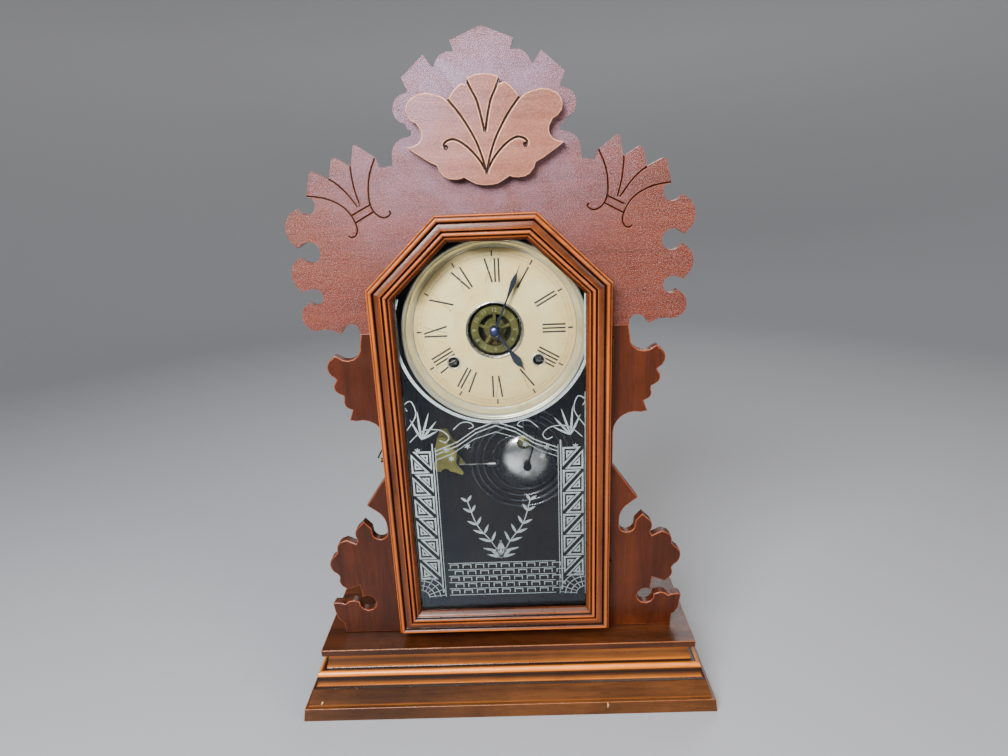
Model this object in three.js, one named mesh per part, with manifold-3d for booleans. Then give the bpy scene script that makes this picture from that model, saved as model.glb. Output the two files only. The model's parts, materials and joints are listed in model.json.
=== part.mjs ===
// A fretted wooden kitchen shelf clock, in millimetres, +Z up, its front facing -Y.
// The origin is the centre of the base, on the shelf. Every piece that comes apart on a bench
// is a mesh of its own.
import * as THREE from 'three';
import { mergeVertices } from 'three/addons/utils/BufferGeometryUtils.js';
import Module from 'manifold-3d';

const wasm = await Module();
wasm.setup();

// ---------- driving dimensions ----------
const gap = 0.3;                   // between two fitted pieces
const runningGap = 0.1;            // round a pivot in its hole

const baseWidth = 370.6;
const depth = 125;
const plinthHeight = 12;
const mouldingHeight = 39.2;       // from plinth to deck
const deckThickness = 6.5;

const bezelRadius = 76.2;          // a six inch dial
const paperRadius = 67.3;
const centreOpening = 22.3;
const windingHole = 4.8;
const dialAboveDeck = 282.7;

const railWidth = 20;              // of the door's mouldings
const doorThickness = 18;
const doorSetBack = 26.5;          // door face behind the plinth's front edge
const doorShift = -2.3;            // the door hangs a little to the left of centre
const doorFootGap = 9.9;           // deck to door
const chamferDegrees = 46.35;      // of the door's sloping sides, from level to their normal
const glassThickness = 2;

const boardThickness = 8;
const boardSetBack = 19;           // board face behind the door's face
const ornamentThickness = 7;
const shoulderRise = 130;          // dial centre to the top of the crest's shoulders
const crownHeight = 91.3;          // shoulders to the top of the crest

const caseWall = 9;
const backThickness = 4;

const plateThickness = 1.2;
const plateHalfWidth = 60;
const plateAbove = 62;             // the plates' reach above and below the dial centre
const plateBelow = 66;
const plateBehindDial = 9.9;       // room for the hands' gears
const windingX = 35.5;
const windingDrop = 26.7;
const mainspringRadius = 24;

const minuteHandLength = 60;
const hourHandLength = 43;
const minuteHandAngle = 22.7;      // clockwise from twelve
const hourHandAngle = 145.5;

const gongX = 18.6;
const gongDrop = 135.7;            // below the dial centre
const gongWire = 2.4;
const gongPitch = 5.8;
const bellRadius = 28.9;
const bellX = 23.6;
const bellWall = 1.2;

const pendulumX = 21;
const pendulumAnchor = 52;         // suspension above the dial centre
const pendulumReach = 154.9;       // suspension to the middle of the bob
const bobRadius = 6.4;

// ---------- planes and levels worked out from them ----------
const radians = Math.PI / 180;
const frontPlane = -depth / 2;
const backPlane = depth / 2;
const deckTop = plinthHeight + mouldingHeight + deckThickness + gap;
const dialZ = deckTop + dialAboveDeck;
const doorFront = frontPlane + doorSetBack;
const doorBack = doorFront + doorThickness;
const boardFront = doorFront + boardSetBack;
const boardBack = boardFront + boardThickness;
const panelFront = backPlane - backThickness;
const openingHalf = bezelRadius + 1.8;
const sightInset = 3.5;            // the door's lip covers the board's edge by this much
const doorHalf = openingHalf - sightInset + railWidth;
const doorTop = dialZ + doorHalf;
const doorBottom = deckTop + doorFootGap;
const seamZ = dialZ + 4.5;
const caseOuter = openingHalf + 10;
const caseInner = caseOuter - caseWall;
const caseTopZ = doorTop + 5;
const boardEdge = doorHalf + 1.8;  // the straight stretch of the side boards
const panFront = boardBack + 7.3;
const panThickness = 0.8;
const plateFront = panFront + plateBehindDial + panThickness;
const plateBack = plateFront + plateThickness;
const movementSpan = panelFront - plateBack;
const rearPlateFront = plateBack + 0.5755 * movementSpan;
const rearPlateBack = rearPlateFront + plateThickness;

// ---------- materials ----------
function paint(color, roughness, metalness) {
  return new THREE.MeshStandardMaterial({ color, roughness, metalness });
}
const crestWood = paint(0x6b3a2c, 0.5, 0);
const boardWood = paint(0x6e3219, 0.5, 0);
const doorWood = paint(0x82401f, 0.4, 0);
const baseWood = paint(0x5a3219, 0.5, 0);
const ornamentWood = paint(0xa0644b, 0.5, 0);
const caseWood = paint(0x4a2e1c, 0.8, 0);
const glassSheet = paint(0x9db5b8, 0.05, 0);
const brass = paint(0xb08d3e, 0.35, 1);
const paleBrass = paint(0xbeb48c, 0.3, 1);
const paperCream = paint(0xebd7aa, 0.8, 0);
const bluedSteel = paint(0x232838, 0.35, 1);
const steel = paint(0x6d6f73, 0.4, 1);
const nickel = paint(0xc9c9c4, 0.2, 1);
const castIron = paint(0x2b2a2a, 0.7, 1);

// ---------- helpers: outlines ----------
function arc(centreX, centreZ, radius, fromDegrees, toDegrees, steps) {
  const points = [];
  for (let step = 0; step <= steps; step += 1) {
    const angle = (fromDegrees + (toDegrees - fromDegrees) * step / steps) * radians;
    points.push([centreX + radius * Math.cos(angle), centreZ + radius * Math.sin(angle)]);
  }
  return points;
}

// An outline written round its own anchor, stretched and moved to its place.
function place(points, anchorX, anchorZ, stretchX = 1, stretchZ = 1) {
  return points.map(([x, z]) => [anchorX + x * stretchX, anchorZ + z * stretchZ]);
}

function mirrored(halfOutline) {
  const left = halfOutline.map(([x, z]) => [-x, z]).reverse();
  return [...halfOutline, ...left].filter(([x, z], index, all) => {
    const [nextX, nextZ] = all[(index + 1) % all.length];
    return Math.hypot(x - nextX, z - nextZ) > 1e-6;
  });
}

function circle(x, z, radius, steps = 24) {
  return arc(x, z, radius, 0, 360, steps).slice(0, -1);
}

function box(left, right, bottom, top) {
  return [[left, bottom], [right, bottom], [right, top], [left, top]];
}

// ---------- helpers: solids ----------
function shapeOf(outline, holes = []) {
  const shape = new THREE.Shape(outline.map(([x, z]) => new THREE.Vector2(x, z)));
  shape.holes = holes.map((hole) => new THREE.Path(hole.map(([x, z]) => new THREE.Vector2(x, z))));
  return shape;
}

// A flat piece seen from the front: an outline in X and Z, from one Y plane to another.
function slab(outline, front, back, holes = []) {
  const settings = { depth: back - front, bevelEnabled: false };
  const geometry = new THREE.ExtrudeGeometry(shapeOf(outline, holes), settings);
  return geometry.rotateX(Math.PI / 2).translate(0, back, 0);
}

// The same seen from the right side (Y and Z).
function sideSlab(outline, left, right) {
  const geometry = new THREE.ExtrudeGeometry(shapeOf(outline), { depth: right - left, bevelEnabled: false });
  return geometry.rotateY(Math.PI / 2).rotateX(Math.PI / 2).translate(left, 0, 0);
}

// Turned pieces: a profile of [radius, y] round an axis along Y, at x and z.
function turned(profile, x, z, segments = 24) {
  const points = profile.map(([radius, y]) => new THREE.Vector2(radius, y));
  return new THREE.LatheGeometry(points, segments).translate(x, 0, z);
}

function rod(radius, front, back, x, z, segments = 12) {
  return turned([[0, front], [radius, front], [radius, back], [0, back]], x, z, segments);
}

function tube(inner, outer, front, back, x, z, segments = 20) {
  const profile = [[inner, front], [outer, front], [outer, back], [inner, back], [inner, front]];
  return turned(profile, x, z, segments);
}

function block(left, right, front, back, bottom, top) {
  const geometry = new THREE.BoxGeometry(right - left, back - front, top - bottom);
  return geometry.translate((left + right) / 2, (front + back) / 2, (bottom + top) / 2);
}

// A round wire along a smooth curve through points.
function wire(points, radius, steps, sides) {
  const curve = new THREE.CatmullRomCurve3(points.map((point) => new THREE.Vector3(...point)));
  return wireAlong(curve, radius, steps, sides);
}

function wireAlong(curve, radius, steps, sides) {
  const section = shapeOf(circle(0, 0, radius, sides));
  return new THREE.ExtrudeGeometry(section, { steps, extrudePath: curve, bevelEnabled: false });
}

function volumeOf(geometry) {
  const flat = geometry.index ? geometry.toNonIndexed() : geometry;
  const position = flat.attributes.position;
  const [a, b, c] = [new THREE.Vector3(), new THREE.Vector3(), new THREE.Vector3()];
  let volume = 0;
  for (let corner = 0; corner < position.count; corner += 3) {
    a.fromBufferAttribute(position, corner);
    b.fromBufferAttribute(position, corner + 1);
    c.fromBufferAttribute(position, corner + 2);
    volume += a.dot(b.cross(c)) / 6;
  }
  return volume;
}

// Only positions matter: shared corners are merged, and faces that point inwards are turned.
function closed(geometry) {
  const bare = geometry.clone();
  bare.deleteAttribute('normal');
  bare.deleteAttribute('uv');
  const merged = mergeVertices(bare, 1e-4);
  if (volumeOf(merged) < 0) {
    const index = merged.index.array;
    for (let corner = 0; corner < index.length; corner += 3) {
      [index[corner], index[corner + 1]] = [index[corner + 1], index[corner]];
    }
  }
  return merged;
}

function solid(geometry) {
  const merged = closed(geometry);
  return new wasm.Manifold(new wasm.Mesh({
    numProp: 3,
    vertProperties: new Float32Array(merged.attributes.position.array),
    triVerts: new Uint32Array(merged.index.array),
  }));
}

function geometryOf(manifold) {
  const mesh = manifold.getMesh();
  const geometry = new THREE.BufferGeometry();
  geometry.setAttribute('position', new THREE.BufferAttribute(new Float32Array(mesh.vertProperties), 3));
  geometry.setIndex(new THREE.BufferAttribute(new Uint32Array(mesh.triVerts), 1));
  return geometry;
}

function joined(...geometries) {
  const whole = geometries.map(solid).reduce((sum, next) => sum.add(next));
  return geometryOf(whole);
}

function cut(geometry, ...cutters) {
  const rest = cutters.map(solid).reduce((sum, next) => sum.subtract(next), solid(geometry));
  return geometryOf(rest);
}

const clock = new THREE.Group();

function piece(name, geometry, material) {
  const bare = closed(geometry);
  bare.computeVertexNormals();
  const mesh = new THREE.Mesh(bare, material);
  mesh.name = name;
  clock.add(mesh);
  return mesh;
}

// A moulding: a profile of pairs carried from station to station, each of which turns a pair
// into a point. Both ends are capped.
function moulding(drawnProfile, stations) {
  const drawn = drawnProfile.map(([u, v]) => new THREE.Vector2(u, v));
  const profile = THREE.ShapeUtils.isClockWise(drawn) ? [...drawnProfile].reverse() : drawnProfile;
  const rings = stations.map((station) => profile.map((pair) => new THREE.Vector3(...station(pair))));
  const corners = [];
  const count = profile.length;
  for (let ring = 0; ring + 1 < rings.length; ring += 1) {
    for (let index = 0; index < count; index += 1) {
      const next = (index + 1) % count;
      const [near, far] = [rings[ring], rings[ring + 1]];
      corners.push(near[index], near[next], far[next], near[index], far[next], far[index]);
    }
  }
  const flat = profile.map(([u, v]) => new THREE.Vector2(u, v));
  const last = rings[rings.length - 1];
  THREE.ShapeUtils.triangulateShape(flat, []).forEach(([a, b, c]) => {
    corners.push(rings[0][c], rings[0][b], rings[0][a], last[a], last[b], last[c]);
  });
  return new THREE.BufferGeometry().setFromPoints(corners);
}

// ---------- base ----------
const fasciaBottom = plinthHeight + gap;
const mouldingTop = plinthHeight + mouldingHeight;
const deckInset = 16.3;
const deckFrontInset = 21.5;
const baseBoard = 34;              // inner face of the base's walls, from its outer edge

const plinthProfile = [[0, 0], [1.5, plinthHeight], [baseBoard, plinthHeight], [baseBoard, 0]];
const baseProfile = [
  [4.3, fasciaBottom], [9.2, 27.1], [12.3, 28.4], [13.3, 32.2], [13.6, 34.4],
  ...arc(16.2, 37.4, 3.1, 205, 60, 5),
  [20.2, 40.2], [20.6, 43.4], [21.9, 47.6], [22.4, mouldingTop],
  [baseBoard, mouldingTop], [baseBoard, fasciaBottom],
];

// A corner or an end of the base, seen from above: side is -1 on the left and 1 on the right.
function baseCorner(side, shiftX = 0, shiftY = 0) {
  return ([inset, z]) => [side * (baseWidth / 2 - inset - shiftX), frontPlane + inset + shiftY, z];
}
function baseEnd(side) {
  return ([inset, z]) => [side * (baseWidth / 2 - inset), backPlane, z];
}

piece('plinth', moulding(plinthProfile, [baseEnd(-1), baseCorner(-1), baseCorner(1), baseEnd(1)]), baseWood);
piece('base_moulding_front', moulding(baseProfile, [baseCorner(-1, gap), baseCorner(1, gap)]), baseWood);
for (const [side, name] of [[-1, 'left'], [1, 'right']]) {
  piece(`base_moulding_${name}`, moulding(baseProfile, [baseCorner(side, 0, gap), baseEnd(side)]), baseWood);
}

const deckHalf = baseWidth / 2 - deckInset;
const deckFront = frontPlane + deckFrontInset;
piece('deck_board', block(-deckHalf, deckHalf, deckFront, backPlane, mouldingTop + gap, deckTop), baseWood);

// ---------- case box ----------
const caseFloor = deckTop + gap;
const caseFront = boardBack + gap;
const caseBack = panelFront - gap;
piece('back_panel', block(-caseOuter, caseOuter, panelFront, backPlane, caseFloor, caseTopZ), caseWood);
piece('case_side_left', block(-caseOuter, -caseInner, caseFront, caseBack, caseFloor, caseTopZ), caseWood);
piece('case_side_right', block(caseInner, caseOuter, caseFront, caseBack, caseFloor, caseTopZ), caseWood);
const caseTopHalf = caseInner - gap;
const caseLid = block(-caseTopHalf, caseTopHalf, caseFront, caseBack, caseTopZ - caseWall, caseTopZ);
piece('case_top', caseLid, caseWood);

// ---------- fretted boards ----------
// The eight-sided head of the door and of the opening, drawn in by an inset from the door's edge.
const chamferNormal = [Math.cos(chamferDegrees * radians), Math.sin(chamferDegrees * radians)];
const chamferReach = doorHalf + 0.1;

function headCorners(inset) {
  const half = doorHalf - inset;
  const reach = chamferReach - inset;
  const footRise = (reach - chamferNormal[0] * half) / chamferNormal[1];
  const headHalf = (reach - chamferNormal[1] * half) / chamferNormal[0];
  return { half, footZ: dialZ + footRise, headHalf, headZ: dialZ + half };
}

const crownStretch = crownHeight / 91.3;
const crownTop = [
  [0, 0], [22.4, -8.5], [20, -15.5], ...arc(23.5, -26.5, 11, 105, 15, 4),
  [35.8, -25.6], [42, -17.1], [58.6, -31.2], [54.6, -40.4], ...arc(56.3, -52, 10.4, 90, -80, 7),
  [56.8, -65.6], [54.4, -66.8], [54.2, -69.6], ...arc(57.6, -83.6, 12.4, 92, -5, 5),
  [70, -90.5], [80, -91.5], [82.8, -84.5], [97, -74.8], [98.1, -75.5],
];
const crownSide = [
  [7, 131.2], [18.6, 138.2], [21, 136.4], [24.2, 123.2], [36.6, 129.1], [38.8, 127.4], [42.8, 111],
  ...arc(44.2, 105, 7.3, 142, 315, 7),
  [51.6, 102.3], ...arc(46.5, 87.4, 15.6, 71, -55, 7),
  [55.1, 73.3], ...arc(45.4, 69.5, 8.3, 48, 318, 11),
  [53.9, 66], ...arc(47.1, 52.5, 15, 63, -52, 7),
  [56.2, 39], ...arc(46.1, 34.8, 6.9, 70, 290, 8),
  [50.6, 30.8], ...arc(46.8, 19.2, 11.6, 72, -85, 8),
  [42.6, 8.6], [36.6, 8.2], [28.8, 4.8], [26, 8.8], ...arc(19.6, 6, 6.3, 40, 180, 5),
];
const apexZ = dialZ + shoulderRise + crownHeight;
const openingInset = railWidth - sightInset;
const head = headCorners(openingInset);
const crestHalf = [
  ...place(crownTop, 0, apexZ, doorHalf / 94.5, crownStretch),
  ...place(crownSide, doorHalf, dialZ),
  [doorHalf + 13.3, seamZ], [openingHalf, seamZ], [openingHalf, head.footZ], [head.headHalf, head.headZ],
];
piece('crest_board', slab(mirrored(crestHalf), boardFront, boardBack), crestWood);

const boardStretch = (seamZ - deckTop) / 287.2;
const boardEar = [
  [11.4, 0], [12.3, -7.3], ...arc(24.2, -10.8, 11.5, 175, 315, 6),
  [35, -17.7], ...arc(32.7, -28.3, 9.2, 65, -65, 6),
  [35.3, -38.3], ...arc(32.1, -44.8, 6.2, 45, -60, 4),
  [30.9, -52.5], ...arc(25.2, -58.3, 6.2, 25, -60, 4),
  [25, -65.1], [28.3, -74.3], ...arc(18.2, -92.8, 18.2, 75, 180, 6),
];
const boardFoot = [
  [0, 164], [22.3, 132], ...arc(25.2, 111, 18.6, 135, 182, 4), ...arc(13.5, 105, 7, 185, 340, 6),
  [20.9, 109.5], [26.9, 116.2], ...arc(26.2, 103.5, 9.6, 60, -35, 5),
  [35.9, 94], [44.5, 98.2], ...arc(45.2, 88.8, 8.6, 60, 0, 4),
  [53.9, 85.6], ...arc(51.2, 73, 10.9, 62, -62, 6),
  [55.1, 61.6], ...arc(47.2, 56, 8.2, 25, -50, 4),
  [48.7, 46.6], [37.3, 51], [36, 40.5], ...arc(31.7, 31.5, 7.8, 50, 370, 10),
  [45.2, 34.6], [49.7, 33.6], [52.7, 30.8], [56.3, 32.2], [62.2, 32.8], [64.2, 30.8],
  [62.3, 18], [59.2, 12.5], [56.3, 10.6], [55.5, 0],
];
const boardFloor = deckTop + gap;
const sideBoardHalf = [
  [openingHalf, seamZ - gap],
  ...place(boardEar, boardEdge, seamZ - gap, 1, boardStretch),
  ...place(boardFoot, boardEdge, boardFloor, 1, boardStretch),
  [openingHalf, boardFloor],
];
piece('side_board_right', slab(sideBoardHalf, boardFront, boardBack), boardWood);
const leftBoard = sideBoardHalf.map(([x, z]) => [-x, z]).reverse();
piece('side_board_left', slab(leftBoard, boardFront, boardBack), boardWood);

const bottomRailTop = doorBottom + 12;
const bottomRailHalf = openingHalf - gap;
piece(
  'front_bottom_rail',
  block(-bottomRailHalf, bottomRailHalf, boardFront, boardBack, boardFloor, bottomRailTop),
  caseWood,
);

const ornamentHalf = [
  [0, -31.5], [6, -32.1], [11.3, -34], [11.5, -38.5], [15.3, -37.4], [18, -39], [21.3, -42], [25.7, -47.5],
  [26.5, -48], [30, -45.4], [35, -43.8], [41, -42.6], [47, -43.4], [52, -45.7], [55, -49], [56.4, -53],
  [55.8, -57], [53, -61], [49.5, -62.8], ...arc(54, -70, 7.9, 140, 252, 5),
  [57.3, -78.8], [51, -83.4], [42, -89.2], [36.3, -92], [35, -95.7], [32, -99.6], [28, -101.8],
  [23, -102.4], [19, -102], [17, -101], [13, -103.5], [8, -106], [4, -106.8], [0, -107],
];
const ornamentBack = boardFront - gap;
const ornamentFront = ornamentBack - ornamentThickness;
const ornamentOutline = mirrored(place(ornamentHalf, 0, apexZ, 1, crownStretch));
piece('crest_ornament', slab(ornamentOutline, ornamentFront, ornamentBack), ornamentWood);

// ---------- door ----------
const mitreGap = 0.3;
const rebateInset = 16.2;
const doorProfile = [
  [0, 0], [0, -13.6], [0.7, -14.6], [1.5, -14.8], ...arc(3.4, -15.9, 1.9, 170, 10, 5),
  [5.9, -14.9], [6.5, -15.7], [8.6, -16.6], [11.2, -16.9], [11.7, -14.6], [12.3, -14.2],
  ...arc(14.1, -14.9, 1.6, 165, 15, 4),
  [16, -13.6], [16.6, -13.9], [17.9, -13.5], [20, -10.8], [20, -8.2], [rebateInset, -8.2], [rebateInset, 0],
];

// The door's corners, each a rule that turns an inset and a depth into a point.
const doorCorners = {
  footRight: (inset) => [doorShift + doorHalf - inset, doorBottom + inset],
  sideRight: (inset) => [doorShift + headCorners(inset).half, headCorners(inset).footZ],
  headRight: (inset) => [doorShift + headCorners(inset).headHalf, headCorners(inset).headZ],
  headLeft: (inset) => [doorShift - headCorners(inset).headHalf, headCorners(inset).headZ],
  sideLeft: (inset) => [doorShift - headCorners(inset).half, headCorners(inset).footZ],
  footLeft: (inset) => [doorShift - doorHalf + inset, doorBottom + inset],
};

function doorMoulding(from, to) {
  const [startX, startZ] = doorCorners[from](0);
  const [endX, endZ] = doorCorners[to](0);
  const length = Math.hypot(endX - startX, endZ - startZ);
  const along = [(endX - startX) / length, (endZ - startZ) / length];
  function station(corner, sign) {
    return ([inset, y]) => {
      const [x, z] = doorCorners[corner](inset);
      return [x + sign * along[0] * mitreGap, doorBack + y, z + sign * along[1] * mitreGap];
    };
  }
  return moulding(doorProfile, [station(from, 1), station(to, -1)]);
}

piece('door_stile_right', doorMoulding('footRight', 'sideRight'), doorWood);
piece('door_chamfer_right', doorMoulding('sideRight', 'headRight'), doorWood);
piece('door_rail_top', doorMoulding('headRight', 'headLeft'), doorWood);
piece('door_chamfer_left', doorMoulding('headLeft', 'sideLeft'), doorWood);
piece('door_stile_left', doorMoulding('sideLeft', 'footLeft'), doorWood);
piece('door_rail_bottom', doorMoulding('footLeft', 'footRight'), doorWood);

function doorOutline(inset) {
  return Object.values(doorCorners).map((corner) => corner(inset));
}
const glassInset = rebateInset + gap;
const glassFront = doorBack - 8.2 + gap;
piece('door_glass', slab(doorOutline(glassInset), glassFront, glassFront + glassThickness), glassSheet);
const retainerFront = glassFront + glassThickness + gap;
piece(
  'glass_retainer',
  slab(doorOutline(glassInset), retainerFront, retainerFront + 3, [doorOutline(glassInset + 3)]),
  doorWood,
);

// ---------- hinges ----------
const knuckle = 1.9;
const leafThickness = 0.5;      // both leaves fold between the door and its case
const leafLength = 22;
const pinRadius = 0.9;
const hingeX = doorShift + doorHalf + gap + knuckle;
const hingeY = boardFront - gap - knuckle;
const hingeReach = 12;

function upright(radius, bottom, top, inner = 0) {
  const profile = inner > 0
    ? [[inner, bottom], [radius, bottom], [radius, top], [inner, top], [inner, bottom]]
    : [[0, bottom], [radius, bottom], [radius, top], [0, top]];
  const points = profile.map(([r, z]) => new THREE.Vector2(r, z));
  return new THREE.LatheGeometry(points, 12).rotateX(Math.PI / 2).translate(hingeX, hingeY, 0);
}

function hinge(name, middle) {
  const bottom = middle - leafLength / 2;
  const top = middle + leafLength / 2;
  const third = leafLength / 3;
  const boardFace = hingeY + knuckle;
  const caseLeaf = joined(
    block(hingeX - hingeReach, hingeX - knuckle - gap, boardFace - leafThickness, boardFace, bottom, top),
    block(hingeX - knuckle - 1, hingeX, boardFace - leafThickness, boardFace, bottom, bottom + third),
    block(hingeX - knuckle - 1, hingeX, boardFace - leafThickness, boardFace, top - third, top),
    upright(knuckle, bottom, bottom + third),
    upright(knuckle, top - third, top),
    upright(pinRadius, bottom + 1, top - 1),
  );
  const doorFace = hingeX - knuckle;
  const leafFoot = hingeY - knuckle - gap;
  const plate = joined(
    block(doorFace, doorFace + leafThickness, hingeY - 11.8, leafFoot, bottom, top),
    block(doorFace, doorFace + leafThickness, leafFoot - 1, hingeY, bottom + third + gap, top - third - gap),
    upright(knuckle, bottom + third + gap, top - third - gap),
  );
  const doorLeaf = cut(plate, upright(pinRadius + runningGap, bottom, top));
  piece(`hinge_${name}_case_leaf`, caseLeaf, brass);
  piece(`hinge_${name}_door_leaf`, doorLeaf, brass);
}
hinge('upper', seamZ - 22);
hinge('lower', deckTop + 60);

// ---------- latch ----------
// The hook hangs from a screw in the left board's edge. It swings over the top and drops its
// notch on the stud in the door's edge.
const earFoot = seamZ - gap - 92.8 * boardStretch;
const footHead = boardFloor + 164 * boardStretch;
const latchZ = (earFoot + footHead) / 2;
const latchArm = 0.4 * (earFoot - footHead);
const latchY = boardFront + boardThickness / 2;
const hookThickness = 1.1;
const hookRight = -boardEdge - 0.9;
const hookLeft = hookRight - hookThickness;
const hookTail = 7.5;              // a thumb lever above the screw, bent outwards and down
const hookOutline = [
  [1.3, hookTail], [-1.3, hookTail], ...arc(0, 0, 2.8, 118, 235, 6), [-2.9, -0.5 * latchArm],
  [-3.2, -latchArm], [-2.6, -latchArm - 2.6], [0, -latchArm - 3.2], [2.2, -latchArm - 2.6],
  [3, -latchArm - 1.7], ...arc(0, -latchArm, 1.6, -50, -310, 10), [1.5, -latchArm + 2.7],
  [1.5, -0.4 * latchArm], ...arc(0, 0, 2.8, -55, 62, 6),
];
const hookPlate = sideSlab(place(hookOutline, latchY, latchZ), hookLeft, hookRight);
const tabX = hookLeft + 0.4;
const hookTab = wire([
  [tabX, latchY, latchZ + 6.5], [tabX - 2.4, latchY, latchZ + 5], [tabX - 4.6, latchY, latchZ + 1.6],
  [tabX - 7.2, latchY, latchZ - 3.4],
], 0.75, 8, 6);
function across(radius, left, right, y, z) {
  const shaft = new THREE.CylinderGeometry(radius, radius, right - left, 12);
  return shaft.rotateZ(Math.PI / 2).translate((left + right) / 2, y, z);
}
const screwShank = 1.2;
const hookHole = across(screwShank + gap, hookLeft - 1, hookRight + 1, latchY, latchZ);
piece('latch_hook', cut(joined(hookPlate, hookTab), hookHole), brass);
piece('latch_screw', joined(
  across(screwShank, hookLeft - gap - 1, -boardEdge - gap, latchY, latchZ),
  across(2.3, hookLeft - gap - 1.2, hookLeft - gap, latchY, latchZ),
), steel);
const studRight = doorShift - doorHalf - gap;
const studLeft = hookLeft - gap;
piece('latch_stud', joined(
  across(1.2, studLeft - 1, studRight, latchY - latchArm, latchZ),
  across(2, studLeft - 1.2, studLeft, latchY - latchArm, latchZ),
), brass);

// ---------- dial ----------
const windingZ = dialZ - windingDrop;
const dialHoles = [
  circle(0, dialZ, centreOpening, 28), circle(-windingX, windingZ, windingHole, 12),
  circle(windingX, windingZ, windingHole, 12),
];
const panBack = panFront + panThickness;
const paperBack = panFront - gap;
const paperFront = paperBack - 0.4;
piece('dial_pan', slab(circle(0, dialZ, bezelRadius - 0.8, 56), panFront, panBack, dialHoles), steel);
piece('dial_paper', slab(circle(0, dialZ, paperRadius, 56), paperFront, paperBack, dialHoles), paperCream);

const bezelProfile = [
  [paperRadius + gap, paperBack], [paperRadius + gap, paperBack - 1.4], [paperRadius + 2.7, paperBack - 4.4],
  [bezelRadius - 2.6, paperBack - 9], [bezelRadius - 1.3, paperBack - 10], [bezelRadius, paperBack - 9.2],
  [bezelRadius, paperBack], [paperRadius + gap, paperBack],
];
piece('bezel', turned(bezelProfile, 0, dialZ, 48), paleBrass);

const dialRailInner = plateHalfWidth - 4;
const dialRailHalf = 42;
for (const [side, name] of [[-1, 'left'], [1, 'right']]) {
  const outer = side * (caseInner - gap);
  const inner = side * dialRailInner;
  const [low, high] = side < 0 ? [outer, inner] : [inner, outer];
  const rail = block(low, high, panBack + gap, plateFront - gap, dialZ - dialRailHalf, dialZ + dialRailHalf);
  piece(`dial_rail_${name}`, rail, caseWood);
}

// ---------- gears ----------
// Teeth are thin, so that meshing pairs have backlash all round.
function gearOutline(teeth, module, phase) {
  const root = module * (teeth / 2 - 1.1);
  const tip = module * (teeth / 2 + 0.8);
  const pitchAngle = 2 * Math.PI / teeth;
  const outline = [];
  for (let tooth = 0; tooth < teeth; tooth += 1) {
    for (const [share, radius] of [[-0.22, root], [0, tip], [0.22, root]]) {
      const angle = phase + (tooth + share) * pitchAngle;
      outline.push([radius * Math.cos(angle), radius * Math.sin(angle)]);
    }
  }
  return outline;
}

function gear(spec, front, back, bore = 0) {
  const [x, z] = spec.at;
  const holes = bore > 0 ? [place(circle(0, 0, bore, 16), x, dialZ + z)] : [];
  const outline = place(gearOutline(spec.teeth, spec.module, spec.phase), x, dialZ + z);
  return slab(outline, front, back, holes);
}

// The phase that puts a follower's gap against its driver's tooth.
function meshed(driver, follower) {
  const [dx, dz] = [follower.at[0] - driver.at[0], follower.at[1] - driver.at[1]];
  const bearing = Math.atan2(dz, dx);
  const driverShare = (bearing - driver.phase) * driver.teeth / (2 * Math.PI);
  follower.phase = bearing + Math.PI - (0.5 - driverShare) * 2 * Math.PI / follower.teeth;
  return follower;
}

// Where an arbor stands that meshes with gears on two others.
function thirdCentre(first, firstDistance, second, secondDistance) {
  const [dx, dz] = [second[0] - first[0], second[1] - first[1]];
  const apart = Math.hypot(dx, dz);
  const along = (firstDistance ** 2 - secondDistance ** 2 + apart ** 2) / (2 * apart);
  const aside = Math.sqrt(firstDistance ** 2 - along ** 2);
  return [
    first[0] + (along * dx - aside * dz) / apart,
    first[1] + (along * dz + aside * dx) / apart,
  ];
}

function distance(driver, follower) {
  return (driver.teeth + follower.teeth) * driver.module / 2;
}

const centre = [0, 0];
const greatModule = 1.125;
const secondModule = 0.9;
const timeArbor = [windingX, -windingDrop];
const strikeArbor = [-windingX, -windingDrop];
const centrePinion = { teeth: 10, module: secondModule, at: centre, phase: 0 };
const secondWheel = { teeth: 40, module: secondModule };
const secondPinion = { teeth: 8, module: greatModule };
const greatTime = { teeth: 48, module: greatModule, at: timeArbor };
secondWheel.at = thirdCentre(
  centre, distance(centrePinion, secondWheel), timeArbor, distance(greatTime, secondPinion),
);
secondPinion.at = secondWheel.at;
meshed(centrePinion, secondWheel);
secondPinion.phase = secondWheel.phase;
meshed(secondPinion, greatTime);

const greatStrike = { teeth: 48, module: greatModule, at: strikeArbor, phase: 0 };
const strikePinion = { teeth: 8, module: greatModule };
strikePinion.at = [-windingX, -windingDrop + distance(greatStrike, strikePinion)];
meshed(greatStrike, strikePinion);

const motionModule = 0.6;
const cannonPinion = { teeth: 10, module: motionModule, at: centre, phase: 0 };
const minuteWheel = { teeth: 30, module: motionModule };
minuteWheel.at = [0, -distance(cannonPinion, minuteWheel)];
meshed(cannonPinion, minuteWheel);
const minutePinion = { teeth: 8, module: motionModule, at: minuteWheel.at, phase: minuteWheel.phase };
const hourWheel = { teeth: 32, module: motionModule, at: centre };
meshed(minutePinion, hourWheel);

// ---------- movement plates ----------
const pivot = 0.9;
const arborRadius = 1.6;
const minuteArborRadius = 2;
const windingCore = 6;
const windingNeck = 2.9;
const rearPivot = 1.4;
const escapeAt = [pendulumX, 26];
const vergeAt = [pendulumX, 44];
const postAt = [[-53, -60], [53, -60], [53, 55], [-53, 55]];

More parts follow.
